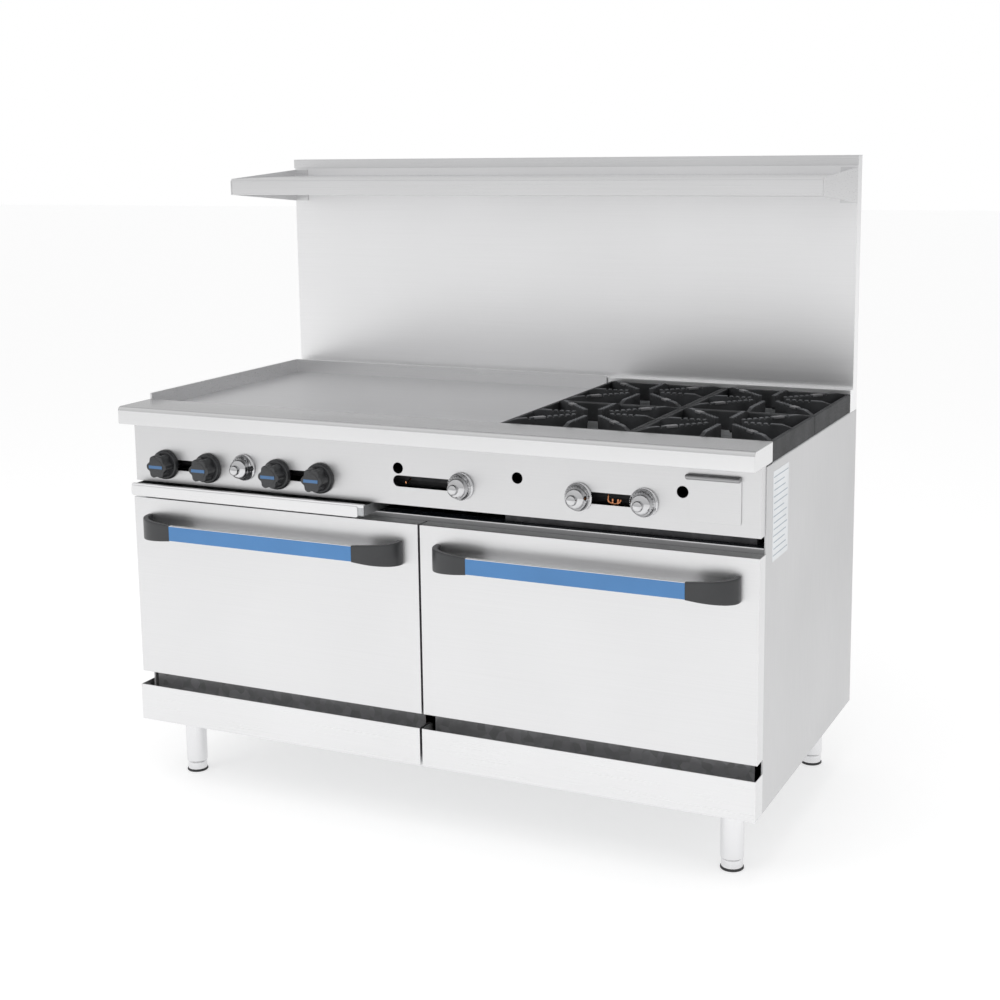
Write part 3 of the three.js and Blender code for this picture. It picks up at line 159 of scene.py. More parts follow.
# %% Floor
bm = bmesh.new()
bmesh.ops.create_grid(bm, x_segments=1, y_segments=1, size=30)
floor_mesh = bpy.data.meshes.new("floor")
bm.to_mesh(floor_mesh)
bm.free()
floor = bpy.data.objects.new("floor", floor_mesh)
bpy.context.scene.collection.objects.link(floor)
floor_paint = bpy.data.materials.new("floor_paint")
floor_paint.use_nodes = True
floor_shader = floor_paint.node_tree.nodes["Principled BSDF"]
floor_shader.inputs["Base Color"].default_value = (0.5, 0.5, 0.5, 1)
floor_shader.inputs["Emission Color"].default_value = (1, 1, 1, 1)
floor_shader.inputs["Emission Strength"].default_value = 0.56
floor_shader.inputs["Roughness"].default_value = 0.75
floor_mesh.materials.append(floor_paint)

# %% [markdown]
# ## Finishes
# Each finish is built from the same few layers: an object-space pattern at the real scale, a small
# swing in tone, a swing in roughness, and a slight relief. Object coordinates keep the pattern
# fixed to the metal, and they run on across neighbouring sheets as one batch of steel does.


# %% The layers of a finish
class Finish:
    """A material with its shader and short ways to add layers."""

    def __init__(self, name, roughness, metallic):
        self.material = bpy.data.materials.new(name)
        self.material.use_nodes = True
        self.tree = self.material.node_tree
        self.shader = self.tree.nodes["Principled BSDF"]
        self.shader.inputs["Roughness"].default_value = roughness
        self.shader.inputs["Metallic"].default_value = metallic
        self.place = self.tree.nodes.new("ShaderNodeTexCoord")

    def link(self, out, into):
        self.tree.links.new(out, into)

    def stretched(self, scale):
        """Object coordinates scaled along X, Y and Z."""
        mapping = self.tree.nodes.new("ShaderNodeMapping")
        mapping.inputs["Scale"].default_value = scale
        self.link(self.place.outputs["Object"], mapping.inputs["Vector"])
        return mapping.outputs["Vector"]

    def noise(self, scale, detail=3.0, stretch=(1, 1, 1)):
        texture = self.tree.nodes.new("ShaderNodeTexNoise")
        texture.inputs["Scale"].default_value = scale
        texture.inputs["Detail"].default_value = detail
        self.link(self.stretched(stretch), texture.inputs["Vector"])
        return texture.outputs["Fac"]

    def cells(self, scale, output="Distance"):
        texture = self.tree.nodes.new("ShaderNodeTexVoronoi")
        texture.inputs["Scale"].default_value = scale
        self.link(self.stretched((1, 1, 1)), texture.inputs["Vector"])
        return texture.outputs[output]

    def tone(self, pattern, dark, light, low=0.3, high=0.7):
        """Colour that runs from dark to light with a pattern."""
        tones = self.tree.nodes.new("ShaderNodeValToRGB")
        tones.color_ramp.elements[0].position = low
        tones.color_ramp.elements[1].position = high
        tones.color_ramp.elements[0].color = (*dark, 1)
        tones.color_ramp.elements[1].color = (*light, 1)
        self.link(pattern, tones.inputs["Fac"])
        return tones.outputs["Color"]

    def mixed(self, factor, first, second, way="MIX"):
        mix = self.tree.nodes.new("ShaderNodeMix")
        mix.data_type = "RGBA"
        mix.blend_type = way
        if isinstance(factor, float):
            mix.inputs["Factor"].default_value = factor
        else:
            self.link(factor, mix.inputs["Factor"])
        self.link(first, mix.inputs["A"])
        self.link(second, mix.inputs["B"])
        return mix.outputs["Result"]

    def height(self, low, high):
        """0 below one height and 1 above another, from the object's own Z."""
        parts = self.tree.nodes.new("ShaderNodeSeparateXYZ")
        climb = self.tree.nodes.new("ShaderNodeMapRange")
        climb.inputs["From Min"].default_value = low
        climb.inputs["From Max"].default_value = high
        self.link(self.place.outputs["Object"], parts.inputs["Vector"])
        self.link(parts.outputs["Z"], climb.inputs["Value"])
        return climb.outputs["Result"]

    def colour(self, output):
        self.link(output, self.shader.inputs["Base Color"])

    def roughness(self, pattern, low, high):
        swing = self.tree.nodes.new("ShaderNodeMapRange")
        swing.inputs["From Min"].default_value = 0.3
        swing.inputs["From Max"].default_value = 0.7
        swing.inputs["To Min"].default_value = low
        swing.inputs["To Max"].default_value = high
        self.link(pattern, swing.inputs["Value"])
        self.link(swing.outputs["Result"], self.shader.inputs["Roughness"])

    def relief(self, pattern, strength, depth):
        bump = self.tree.nodes.new("ShaderNodeBump")
        bump.inputs["Strength"].default_value = strength
        bump.inputs["Distance"].default_value = depth
        self.link(pattern, bump.inputs["Height"])
        self.link(bump.outputs["Normal"], self.shader.inputs["Normal"])


def scaled(tone, factor):
    return tuple(min(1.0, c * factor) for c in tone)


# %% [markdown]
# ### Sheet steels
# Stainless sheet is polished in one direction, which leaves hair-fine lines along the sheet. The
# lines are a noise squeezed across the grain; a second, broad noise is the wiped, slightly cloudy
# look of a handled panel. The sides are a duller grade, and the hidden sheets are galvanised, whose
# zinc freezes in flat crystals.


# %% Sheet steel finishes
def brushed_sheet(name, tone, roughness, grain, shade_above=None):
    """Steel with hair lines along an axis, and painted shade above a height if one is given: the
    top face is coloured darker there.
    """
    made = Finish(name, roughness, 1.0)
    fine = {"X": (2, 90, 420), "Z": (420, 90, 2), "Y": (420, 2, 420)}[grain]
    lines = made.noise(1.6, 4.0, fine)
    cloud = made.noise(2.2, 2.0)
    lined = made.tone(lines, scaled(tone, 0.96), scaled(tone, 1.03))
    wiped = made.tone(cloud, scaled(tone, 0.96), scaled(tone, 1.04))
    steel = made.mixed(0.5, lined, wiped)
    # painted shade: above the given height the sheet is coloured darker than its front
    if shade_above:
        steel = made.mixed(
            made.height(shade_above - 1.5 * MM, shade_above), steel,
            made.tone(lines, scaled(tone, 0.70), scaled(tone, 0.76)))
    made.colour(steel)
    made.roughness(lines, roughness * 0.88, roughness * 1.15)
    made.relief(lines, 0.03, 0.0001)
    made.shader.inputs["Anisotropic"].default_value = 0.35
    return made.material


def galvanised_sheet(name, tone):
    made = Finish(name, 0.5, 0.85)
    crystals = made.cells(55, "Color")
    grey = made.tone(crystals, scaled(tone, 0.82), scaled(tone, 1.15), 0.1, 0.9)
    made.colour(grey)
    made.roughness(made.noise(30, 3.0), 0.42, 0.62)
    made.relief(made.noise(90, 3.0), 0.06, 0.0003)
    return made.material


bright_steel = brushed_sheet("bright_steel", (0.78, 0.78, 0.785), 0.30, "X")
panel_steel = brushed_sheet("panel_steel", (0.70, 0.70, 0.705), 0.36, "X")
guard_steel = brushed_sheet("guard_steel", (0.93, 0.93, 0.935), 0.36, "X")
# the service lid's rolled grip is coloured dark: painted shade on the rolled lip
shaded_grip_steel = brushed_sheet("shaded_grip_steel", (0.36, 0.36, 0.365), 0.34, "X")
rail_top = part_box("front_rail")[1][2]
# the rail's top face is coloured darker as painted shade
rail_steel = brushed_sheet("rail_steel", (0.76, 0.76, 0.765), 0.22, "X", rail_top - MM)
# the oven frames are coloured dark: painted shade for the shadowed band between the drip tray and
# the doors
shaded_frame_steel = brushed_sheet("shaded_frame_steel", (0.30, 0.30, 0.305), 0.30, "X")
door_steel = brushed_sheet("door_steel", (0.75, 0.75, 0.755), 0.34, "X")
leg_steel = brushed_sheet("leg_steel", (0.8, 0.8, 0.81), 0.24, "Z")
side_steel = Finish("side_steel", 0.5, 0.55)
side_cloud = side_steel.noise(1.4, 2.0)
side_steel.colour(side_steel.tone(side_cloud, (0.60, 0.60, 0.605), (0.67, 0.67, 0.675)))
side_steel.roughness(side_steel.noise(240, 3.0, (1, 1, 0.05)), 0.44, 0.56)
side_steel.relief(side_steel.noise(420, 2.0, (1, 1, 0.04)), 0.04, 0.0002)
side_steel = side_steel.material
galvanised = galvanised_sheet("galvanised", (0.5, 0.51, 0.52))
# the right drip tray is coloured near black: painted shade for the shadowed slot under the control
# panel
shaded_tray_sheet = galvanised_sheet("shaded_tray_sheet", (0.09, 0.09, 0.095))
# the kick shields are coloured dark grey: painted shade for the shadowed gap between the doors and
# the kick panels
shaded_shield_sheet = galvanised_sheet("shaded_shield_sheet", (0.24, 0.24, 0.245))
print("sheet finishes made")

# %% [markdown]
# ### Griddle, cast iron, enamel and pipe
# A griddle plate is ground flat and then wiped with oil, so its fine lines sit under a smooth dark
# sheen. Sand-cast iron is matte and pitted. Porcelain enamel is glossy with tiny pale specks, and
# black pipe keeps its mill scale.


# %% Heavy finishes
def ground_plate():
    made = Finish("ground_plate", 0.34, 1.0)
    lines = made.noise(1.5, 4.0, (3, 260, 3))
    oil = made.noise(3.0, 3.0)
    ground = made.tone(lines, (0.68, 0.68, 0.69), (0.76, 0.76, 0.77))
    oiled = made.tone(oil, (0.66, 0.66, 0.665), (0.76, 0.76, 0.765))
    made.colour(made.mixed(0.5, ground, oiled))
    made.roughness(oil, 0.28, 0.42)
    made.relief(lines, 0.05, 0.0002)
    return made.material


def rough_iron(name, tone, pit_scale, depth, roughness, highlight_above=None):
    """Pitted iron, with a painted highlight above a height: the top faces are coloured paler there.
    """
    made = Finish(name, roughness, 0.35)
    pits = made.noise(pit_scale, 5.0)
    patches = made.noise(22, 3.0)
    iron = made.tone(patches, scaled(tone, 0.7), scaled(tone, 1.5))
    # painted highlight: the iron is coloured paler above the given height
    if highlight_above:
        iron = made.mixed(
            made.height(highlight_above - 2 * MM, highlight_above), iron,
            made.tone(patches, scaled(tone, 2.6), scaled(tone, 4.2)))
    made.colour(iron)
    made.roughness(pits, roughness * 0.8, min(1.0, roughness * 1.2))
    made.relief(pits, 0.55, depth)
    return made.material


def speckled_enamel():
    made = Finish("speckled_enamel", 0.22, 0.0)
    specks = made.cells(700)
    made.colour(made.tone(specks, (0.30, 0.32, 0.35), (0.022, 0.026, 0.034), 0.06, 0.12))
    made.roughness(made.noise(35, 2.0), 0.16, 0.3)
    made.relief(made.noise(60, 2.0), 0.05, 0.0004)
    return made.material


# the grates' top faces are coloured paler as a painted highlight
grate_iron = rough_iron(
    "grate_iron", (0.030, 0.031, 0.033), 620, 0.0006, 0.62,
    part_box("burner_grate_1")[1][2] - 0.5 * MM)
cast_iron = rough_iron("cast_iron", (0.030, 0.031, 0.033), 620, 0.0006, 0.62)
# a paler, smoother cast iron for the flat pads on the grates' tops
cast_iron_pale = rough_iron("cast_iron_pale", (0.13, 0.13, 0.135), 620, 0.0003, 0.42)
pipe_iron = rough_iron("pipe_iron", (0.055, 0.055, 0.058), 260, 0.0003, 0.55)
griddle_steel = ground_plate()
enamel = speckled_enamel()
print("heavy finishes made")

# %% [markdown]
# ### Plastic, paint, chrome, copper, rubber and paper
# The knobs and the handle ends are dark grey moulded plastic with a faint spark-eroded grain. The
# handle bars carry a smooth blue paint. The dials are chromed, so they only need a mirror with a
# trace of haze. The pilot tubes are copper.


# %% Small-part finishes
def moulded_plastic(name, tone, roughness):
    made = Finish(name, roughness, 0.0)
    grain = made.noise(1500, 2.0)
    made.colour(made.tone(made.noise(14, 2.0), scaled(tone, 0.9), scaled(tone, 1.12)))
    made.roughness(grain, roughness * 0.85, roughness * 1.2)
    made.relief(grain, 0.12, 0.0001)
    return made.material


def smooth_paint(name, tone, roughness):
    made = Finish(name, roughness, 0.0)
    made.colour(made.tone(made.noise(9, 2.0), scaled(tone, 0.95), scaled(tone, 1.06)))
    made.roughness(made.noise(60, 2.0), roughness * 0.85, roughness * 1.15)
    made.relief(made.noise(260, 2.0), 0.04, 0.0002)
    made.shader.inputs["Coat Weight"].default_value = 0.35
    made.shader.inputs["Coat Roughness"].default_value = 0.12
    return made.material


def plated(name, tone, low, high):
    made = Finish(name, low, 1.0)
    haze = made.noise(70, 3.0)
    made.colour(made.tone(haze, scaled(tone, 0.95), tone))
    made.roughness(haze, low, high)
    return made.material


knob_plastic = moulded_plastic("knob_plastic", (0.030, 0.031, 0.033), 0.30)
handle_plastic = moulded_plastic("handle_plastic", (0.030, 0.031, 0.033), 0.34)
blue_paint = smooth_paint("blue_paint", (0.050, 0.185, 0.42), 0.42)
mark_blue = smooth_paint("mark_blue", (0.045, 0.13, 0.28), 0.4)
label_paper = smooth_paint("label_paper", (0.74, 0.76, 0.78), 0.5)
label_ink = smooth_paint("label_ink", (0.36, 0.42, 0.47), 0.5)
chrome = plated("chrome", (0.66, 0.66, 0.67), 0.05, 0.12)
rack_plating = plated("rack_plating", (0.78, 0.78, 0.79), 0.16, 0.26)
copper = plated("copper", (0.82, 0.36, 0.18), 0.2, 0.4)
black_rubber = moulded_plastic("black_rubber", (0.03, 0.03, 0.031), 0.6)
print("small-part finishes made")

# %% [markdown]
# ## Softened sheets
# A folded sheet has no knife edges: every fold has a small radius that catches a line of light. The
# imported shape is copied, its loose triangles are welded and joined into whole faces, and then its
# sharp edges are bevelled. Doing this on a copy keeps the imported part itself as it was.


# %% Make a finished piece from a bmesh
def finished(bm, name, material, slot, body, *replaced, sharp=35):
    """Turns a bmesh into a named piece that rides on a body."""
    bmesh.ops.remove_doubles(bm, verts=bm.verts, dist=1e-6)
    bmesh.ops.recalc_face_normals(bm, faces=bm.faces)
    mesh = bpy.data.meshes.new(name)
    bm.to_mesh(mesh)
    bm.free()
    mesh.polygons.foreach_set("use_smooth", [True] * len(mesh.polygons))
    mesh.set_sharp_from_angle(angle=math.radians(sharp))
    mesh.materials.append(material)
    piece = bpy.data.objects.new(name, mesh)
    bpy.context.scene.collection.objects.link(piece)
    even = piece.modifiers.new("even_shading", "WEIGHTED_NORMAL")
    even.keep_sharp = True
    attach(piece, body)
    if replaced:
        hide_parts(*replaced)
    return piece


def edges_over(bm, degrees):
    """Edges where two faces meet at more than an angle."""
    limit = math.radians(degrees)
    return [e for e in bm.edges if len(e.link_faces) == 2 and e.calc_face_angle(0) > limit]


def rounded(bm, edges, width, segments=2):
    bmesh.ops.bevel(
        bm, geom=edges, offset=width, offset_type="OFFSET", affect="EDGES", segments=segments,
        profile=0.5, material=-1, clamp_overlap=True)


def softened(node, width, material, slot):
    """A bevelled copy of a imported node, which it replaces."""
    bm = bmesh.new()
    bm.from_mesh(nodes[node].data)
    bmesh.ops.remove_doubles(bm, verts=bm.verts, dist=1e-5)
    bmesh.ops.dissolve_limit(
        bm, angle_limit=math.radians(1), verts=bm.verts, edges=bm.edges, delimit={"NORMAL"})
    rounded(bm, edges_over(bm, 40), width)
    return finished(bm, node + "_sheet", material, slot, nodes[node]["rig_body"], node)


# %% Soften the cabinet, the top and the doors
SHEET_EDGE = 0.7 * MM
BRIGHT_SHEETS = {
    "kick_panel_left": bright_steel, "kick_panel_right": bright_steel,
    "control_panel": panel_steel, "front_rail": rail_steel,
    "griddle_splash": bright_steel, "back_guard": guard_steel,
    "shelf": bright_steel, "shelf_bracket_left": bright_steel, "shelf_bracket_right": bright_steel,
}
for node, steel in BRIGHT_SHEETS.items():
    softened(node, SHEET_EDGE, steel, "polished_steel")
for side in SIDES:
    softened(f"door_skin_{side}", SHEET_EDGE, door_steel, "polished_steel")
    softened(f"side_panel_{side}", SHEET_EDGE, side_steel, "side_sheet")
    softened(f"oven_liner_{side}", SHEET_EDGE, enamel, "oven_enamel")
for node in ["back_panel", "base_pan", "burner_deck"]:
    softened(node, SHEET_EDGE, galvanised, "galvanised_steel")
# near black tray: painted shade in the slot
softened("drip_tray_right", SHEET_EDGE, shaded_tray_sheet, "galvanised_steel")
softened("griddle_plate", SHEET_EDGE * 2, griddle_steel, "griddle_steel")

# %% [markdown]
# ## Turned and swept shapes
# Knob skirts, dials, legs and burners are turned parts, so a half outline is spun about its axis.
# Handle ends and tubes follow a path, so one closed ring is extruded from station to station and
# moved to the path each time. Both helpers leave closed shapes, ready for finishing.


# %% Spin and sweep
def spun(bm, profile, base, axis, steps=48):
    """Spins (radius, height) points, measured from a base point along an axis."""
    axis = Vector(axis).normalized()
    aside = axis.orthogonal().normalized()
    rim = [bm.verts.new(Vector(base) + aside * r + axis * h) for r, h in profile]
    line = [bm.edges.new(pair) for pair in zip(rim, rim[1:])]
    bmesh.ops.spin(
        bm, geom=rim + line, cent=base, axis=axis, dvec=(0, 0, 0), angle=2 * math.pi, steps=steps,
        use_merge=True, use_duplicate=False)
    bmesh.ops.remove_doubles(bm, verts=bm.verts, dist=1e-6)


def cuboid(bm, low, high, bevel=0.0, segments=2):
    """A block between two corners, with its edges rounded."""
    low, high = Vector(low), Vector(high)
    sizes = Matrix.Diagonal((*(high - low), 1))
    made = bmesh.ops.create_cube(bm, size=1, matrix=Matrix.Translation((low + high) / 2) @ sizes)
    if bevel:
        edges = list({e for v in made["verts"] for e in v.link_edges})
        rounded(bm, edges, bevel, segments)


def pushed(bm, faces, way):
    """Extrudes faces and moves the copy, and gives back what was made."""
    grown = bmesh.ops.extrude_face_region(bm, geom=faces)["geom"]
    moved = [g for g in grown if isinstance(g, bmesh.types.BMVert)]
    bmesh.ops.translate(bm, verts=moved, vec=way)
    return grown


def swept(bm, stations):
    """Extrudes a ring through stations, each a list of points with the same count."""
    face = bm.faces.new([bm.verts.new(p) for p in stations[0]])
    for index, station in enumerate(stations[1:]):
        grown = bmesh.ops.extrude_face_region(bm, geom=[face])["geom"]
        inner = face
        face = next(g for g in grown if isinstance(g, bmesh.types.BMFace))
        for vert, place in zip(face.verts, station):
            vert.co = place
        if index:  # the first face stays, as the near end
            bm.faces.remove(inner)


def tube(bm, path, radius, sides=10):
    """A round tube along a list of points."""
    stations = []
    for index, point in enumerate(path):
        before = path[max(index - 1, 0)]
        after = path[min(index + 1, len(path) - 1)]
        along = (after - before).normalized()
        aside = along.cross(Vector((0.13, 0.21, 0.97))).normalized()
        up = along.cross(aside)
        stations.append([
            point + radius * (math.cos(a) * aside + math.sin(a) * up)
            for a in (2 * math.pi * k / sides for k in range(sides))])
    swept(bm, stations)


# %% [markdown]
# ## Oven front frames
# The doors close on a flat steel frame, whose top fold catches a line of light under the drip tray.
# The frame is one sheet with a window, so it is a grid of nine faces that loses its middle one and
# is then given its thickness. A plain shield closes the gap between the door and the kick panel.

# %% Oven front frames
FACING = 0.5 * MM
MOUTH_BESIDE_RACK = 4 * MM
MOUTH_SILL = 13 * MM
MOUTH_HEADER = 46 * MM
FOLD_HEIGHT = 2.4 * MM
FOLD_PROUD = 0.2 * MM
SHIELD_INSET = 12 * MM
SHIELD_FRONT = 3.2 * MM
SHIELD_BACK = 1.6 * MM
SHIELD_BELOW_DOOR = 4 * MM
SHIELD_IN_KICK = 20 * MM


def windowed_sheet(bm, low, high, window_low, window_high, y, thick):
    """An upright sheet facing the front, with a rectangular window."""
    xs = (low[0], window_low[0], window_high[0], high[0])
    zs = (low[1], window_low[1], window_high[1], high[1])
    upright = Matrix.Rotation(math.pi / 2, 4, "X")
    bmesh.ops.create_grid(bm, x_segments=3, y_segments=3, size=1, matrix=upright)
    for vert in bm.verts:
        column = round((vert.co.x + 1) * 1.5)
        row = round((vert.co.z + 1) * 1.5)
        vert.co = (xs[column], y, zs[row])
    middles = {f: f.calc_center_median() for f in bm.faces}
    window = [f for f, m in middles.items() if xs[1] < m.x < xs[2] and zs[1] < m.z < zs[2]]
    bmesh.ops.delete(bm, geom=window, context="FACES")
    pushed(bm, list(bm.faces), (0, thick, 0))


for side in SIDES:
    node = f"oven_liner_{side}"
    low, high = (Vector(corner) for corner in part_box(node))
    rack_low, rack_high = (Vector(corner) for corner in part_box(f"oven_rack_{side}"))
    mouth_low = (rack_low.x - MOUTH_BESIDE_RACK, low.z + MOUTH_SILL)
    mouth_high = (rack_high.x + MOUTH_BESIDE_RACK, high.z - MOUTH_HEADER)
    bm = bmesh.new()
    windowed_sheet(
        bm, (low.x, low.z), (high.x, high.z), mouth_low, mouth_high, low.y - FACING, FACING)
    # the frame's dark steel is painted shade above the doors
    finished(bm, f"oven_frame_{side}", shaded_frame_steel, "polished_steel", "root")
    bm = bmesh.new()
    cuboid(bm, (low.x, low.y - 4 * FACING, high.z - FOLD_HEIGHT),
           (high.x, low.y - 1.2 * FACING, high.z + FOLD_PROUD), 0.6 * MM)
    finished(bm, f"oven_frame_fold_{side}", bright_steel, "polished_steel", "root")
    # the shield's dark grey sheet is painted shade for the gap
    shield_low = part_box(f"kick_panel_{side}")[1][2] - SHIELD_IN_KICK
    shield_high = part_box(f"door_liner_{side}")[0][2] - SHIELD_BELOW_DOOR
    bm = bmesh.new()
    cuboid(bm, (low.x + SHIELD_INSET, low.y - SHIELD_FRONT, shield_low),
           (high.x - SHIELD_INSET, low.y - SHIELD_BACK, shield_high), 0.4 * MM)
    finished(bm, f"kick_shield_{side}", shaded_shield_sheet, "galvanised_steel", "root")
print("oven mouths are", round(mouth_high[0] - mouth_low[0], 3), "m wide")

# %% [markdown]
# ## Burner knobs
# Each knob is one moulding: a round skirt that hides the valve, and a six-lobed grip that fingers
# can turn. The lobes are a circle whose radius swings six times in a turn; the grip tapers a little
# so that it leaves its mould, and its rim is well rounded. A plain blue bar marks its front.

# %% Burner knobs
FORWARD = Vector((0, -1, 0))
panel_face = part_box("control_panel")[0][1]
KNOB_LOBES = 6
KNOB_SKIRT = [  # radius and height, from the panel
    (0, 0.0005), (0.0345, 0.0005), (0.035, 0.002), (0.0338, 0.0095), (0.0322, 0.0112),
    (0.0298, 0.0116), (0.0, 0.0116)]
GRIP_RADIUS = 29.2 * MM
GRIP_SCALLOP = 5.2 * MM
GRIP_START = 10.5 * MM
GRIP_RIM = 2.6 * MM
GRIP_TAPER = 0.05
NOSE_HEIGHT = 1 * MM
MARK_REACH = (18.5 * MM, 0, 3.6 * MM)
MARK_SHIFT = 1 * MM


def lobed_grip(bm, centre, depth):
    """A lobed grip that stands forward from the panel."""
    base = centre + FORWARD * GRIP_START
    facing = Matrix.Translation(base) @ Matrix.Rotation(math.pi / 2, 4, "X")
    made = bmesh.ops.create_circle(
        bm, cap_ends=True, radius=GRIP_RADIUS, segments=KNOB_LOBES * 14, matrix=facing)
    for vert in made["verts"]:
        out = vert.co - centre - FORWARD * GRIP_START
        angle = math.atan2(out.z, out.x)
        dip = (0.5 - 0.5 * math.cos(KNOB_LOBES * angle)) ** 1.5
        vert.co -= out.normalized() * GRIP_SCALLOP * dip
    grown = pushed(bm, [made["verts"][0].link_faces[0]], FORWARD * (depth - GRIP_START))
    front = next(g for g in grown if isinstance(g, bmesh.types.BMFace))
    for vert in front.verts:
        vert.co += (centre + FORWARD * depth - vert.co) * GRIP_TAPER
    rounded(bm, list(front.edges), GRIP_RIM, 4)


def burner_knob(index):
    node = f"burner_knob_{index}"
    centre = middle(node)
    centre.y = panel_face
    depth = panel_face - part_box(node)[0][1]
    bm = bmesh.new()
    spun(bm, KNOB_SKIRT, centre, FORWARD, 64)
    lobed_grip(bm, centre, depth - NOSE_HEIGHT)
    spun(bm, [(0, depth - 0.002), (0.0185, depth - 0.002), (0.0182, depth - 0.0004),
              (0.017, depth), (0, depth)], centre, FORWARD, 48)
    body = f"knob_{index}"
    finished(bm, f"knob_grip_{index}", knob_plastic, "knob_plastic", body, node, sharp=50)
    bm = bmesh.new()
    reach = Vector(MARK_REACH)
    front = centre + FORWARD * depth - Vector((MARK_SHIFT, 0, 0))
    cuboid(bm, front - reach + FORWARD * 0.0004, front + reach - FORWARD * 0.0018, 0.0003)
    finished(bm, f"knob_mark_{index}", mark_blue, "handle_blue", body)


for index in range(1, 5):
    burner_knob(index)

# %% [markdown]
# ## Thermostat dials
# The dials are chromed castings: a fluted ring that is engraved with a plain scale, a bell-shaped
# waist and a small domed nose. A spun outline gives the bell, a notched circle gives the fluting,
# and small dark bars on the ring make the scale.

# %% Thermostat dials
FLUTES = 40
FLUTE_DEPTH = 0.9 * MM
SCALE_MARKS = 20
SCALE_START = -40  # degrees
SCALE_SWEEP = 260
DIAL_BELL = [  # radius and height, from the panel to below the nose's tip
    (0, 0.0005), (0.029, 0.0005), (0.0305, 0.002), (0.0300, 0.0045), (0.0275, 0.0062),
    (0.0262, 0.0088), (0.0271, 0.0104), (0.0262, 0.0128), (0.0238, 0.0150), (0.0228, 0.0190),
    (0.0222, 0.0240), (0.0202, 0.0280), (0.0165, 0.0306), (0.0122, 0.0320), (0.0102, 0.0330),
    (0.0112, 0.0348), (0.0118, 0.0388), (0.0115, 0.0428), (0.0098, 0.0462)]


def fluted_ring(bm, centre, radius, start, end):
    facing = Matrix.Translation(centre + FORWARD * start) @ Matrix.Rotation(math.pi / 2, 4, "X")
    made = bmesh.ops.create_circle(
        bm, cap_ends=True, radius=radius, segments=FLUTES * 4, matrix=facing)
    for step, vert in enumerate(made["verts"]):
        out = (vert.co - centre - FORWARD * start).normalized()
        vert.co -= out * (FLUTE_DEPTH if step % 4 < 2 else 0)
    pushed(bm, [made["verts"][0].link_faces[0]], FORWARD * (end - start))


def thermostat_dial(index):
    node = f"thermostat_dial_{index}"
    centre = middle(node)
    centre.y = panel_face
    depth = panel_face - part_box(node)[0][1]
    bm = bmesh.new()
    tip = [(0.0066, depth - 0.0008), (0.003, depth), (0, depth)]
    spun(bm, DIAL_BELL + tip, centre, FORWARD, 64)
    fluted_ring(bm, centre, 0.0308, 0.0015, 0.0045)
    body = f"dial_{index}"
    finished(bm, f"dial_bell_{index}", chrome, "dial_chrome", body, node, sharp=40)
    bm = bmesh.new()
    for mark in range(SCALE_MARKS):
        angle = math.radians(SCALE_START + SCALE_SWEEP * mark / (SCALE_MARKS - 1))
        length = 0.0034 if mark % 5 == 0 else 0.0022
        place = (
            Matrix.Translation(centre + FORWARD * 0.0146)
            @ Matrix.Rotation(-angle, 4, "Y")
            @ Matrix.Translation((0.0253, 0, 0))
            @ Matrix.Rotation(math.radians(-38), 4, "Z")
            @ Matrix.Diagonal((length, 0.0006, 0.0008, 1)))
        bmesh.ops.create_cube(bm, size=1, matrix=place)
    finished(bm, f"dial_scale_{index}", knob_plastic, "knob_plastic", body)


for index in range(1, 5):
    thermostat_dial(index)
print("dials have", SCALE_MARKS, "marks")

# %% [markdown]
# ## Door handles
# A handle is a flat steel bar with a painted blue face, held in two moulded ends. Each end starts
# flush round the bar and grows taller as it curves back to the door, so a squarish ring is swept
# along that curve while it changes size.

# %% Door handles
CAP_RING = 40
CAP_BEND = 16
CAP_FLAT = 0.27  # share of a handle end that runs straight on from the bar
CAP_THICK = 10 * MM
BARE_EDGE = 1.6 * MM
PAINT_DEPTH = 0.8 * MM
CAP_GROWTH = 0.85  # 1 makes its height grow evenly along the curve


def squarish_ring(centre, across, half_thick, half_tall):
    """A rounded rectangle of points around a centre."""
    ring = []
    for step in range(CAP_RING):
        angle = 2 * math.pi * step / CAP_RING
        c, s = math.cos(angle), math.sin(angle)
        ring.append(
            centre
            + across * half_thick * math.copysign(abs(c) ** 0.28, c)
            + Vector((0, 0, half_tall)) * math.copysign(abs(s) ** 0.16, s))
    return ring


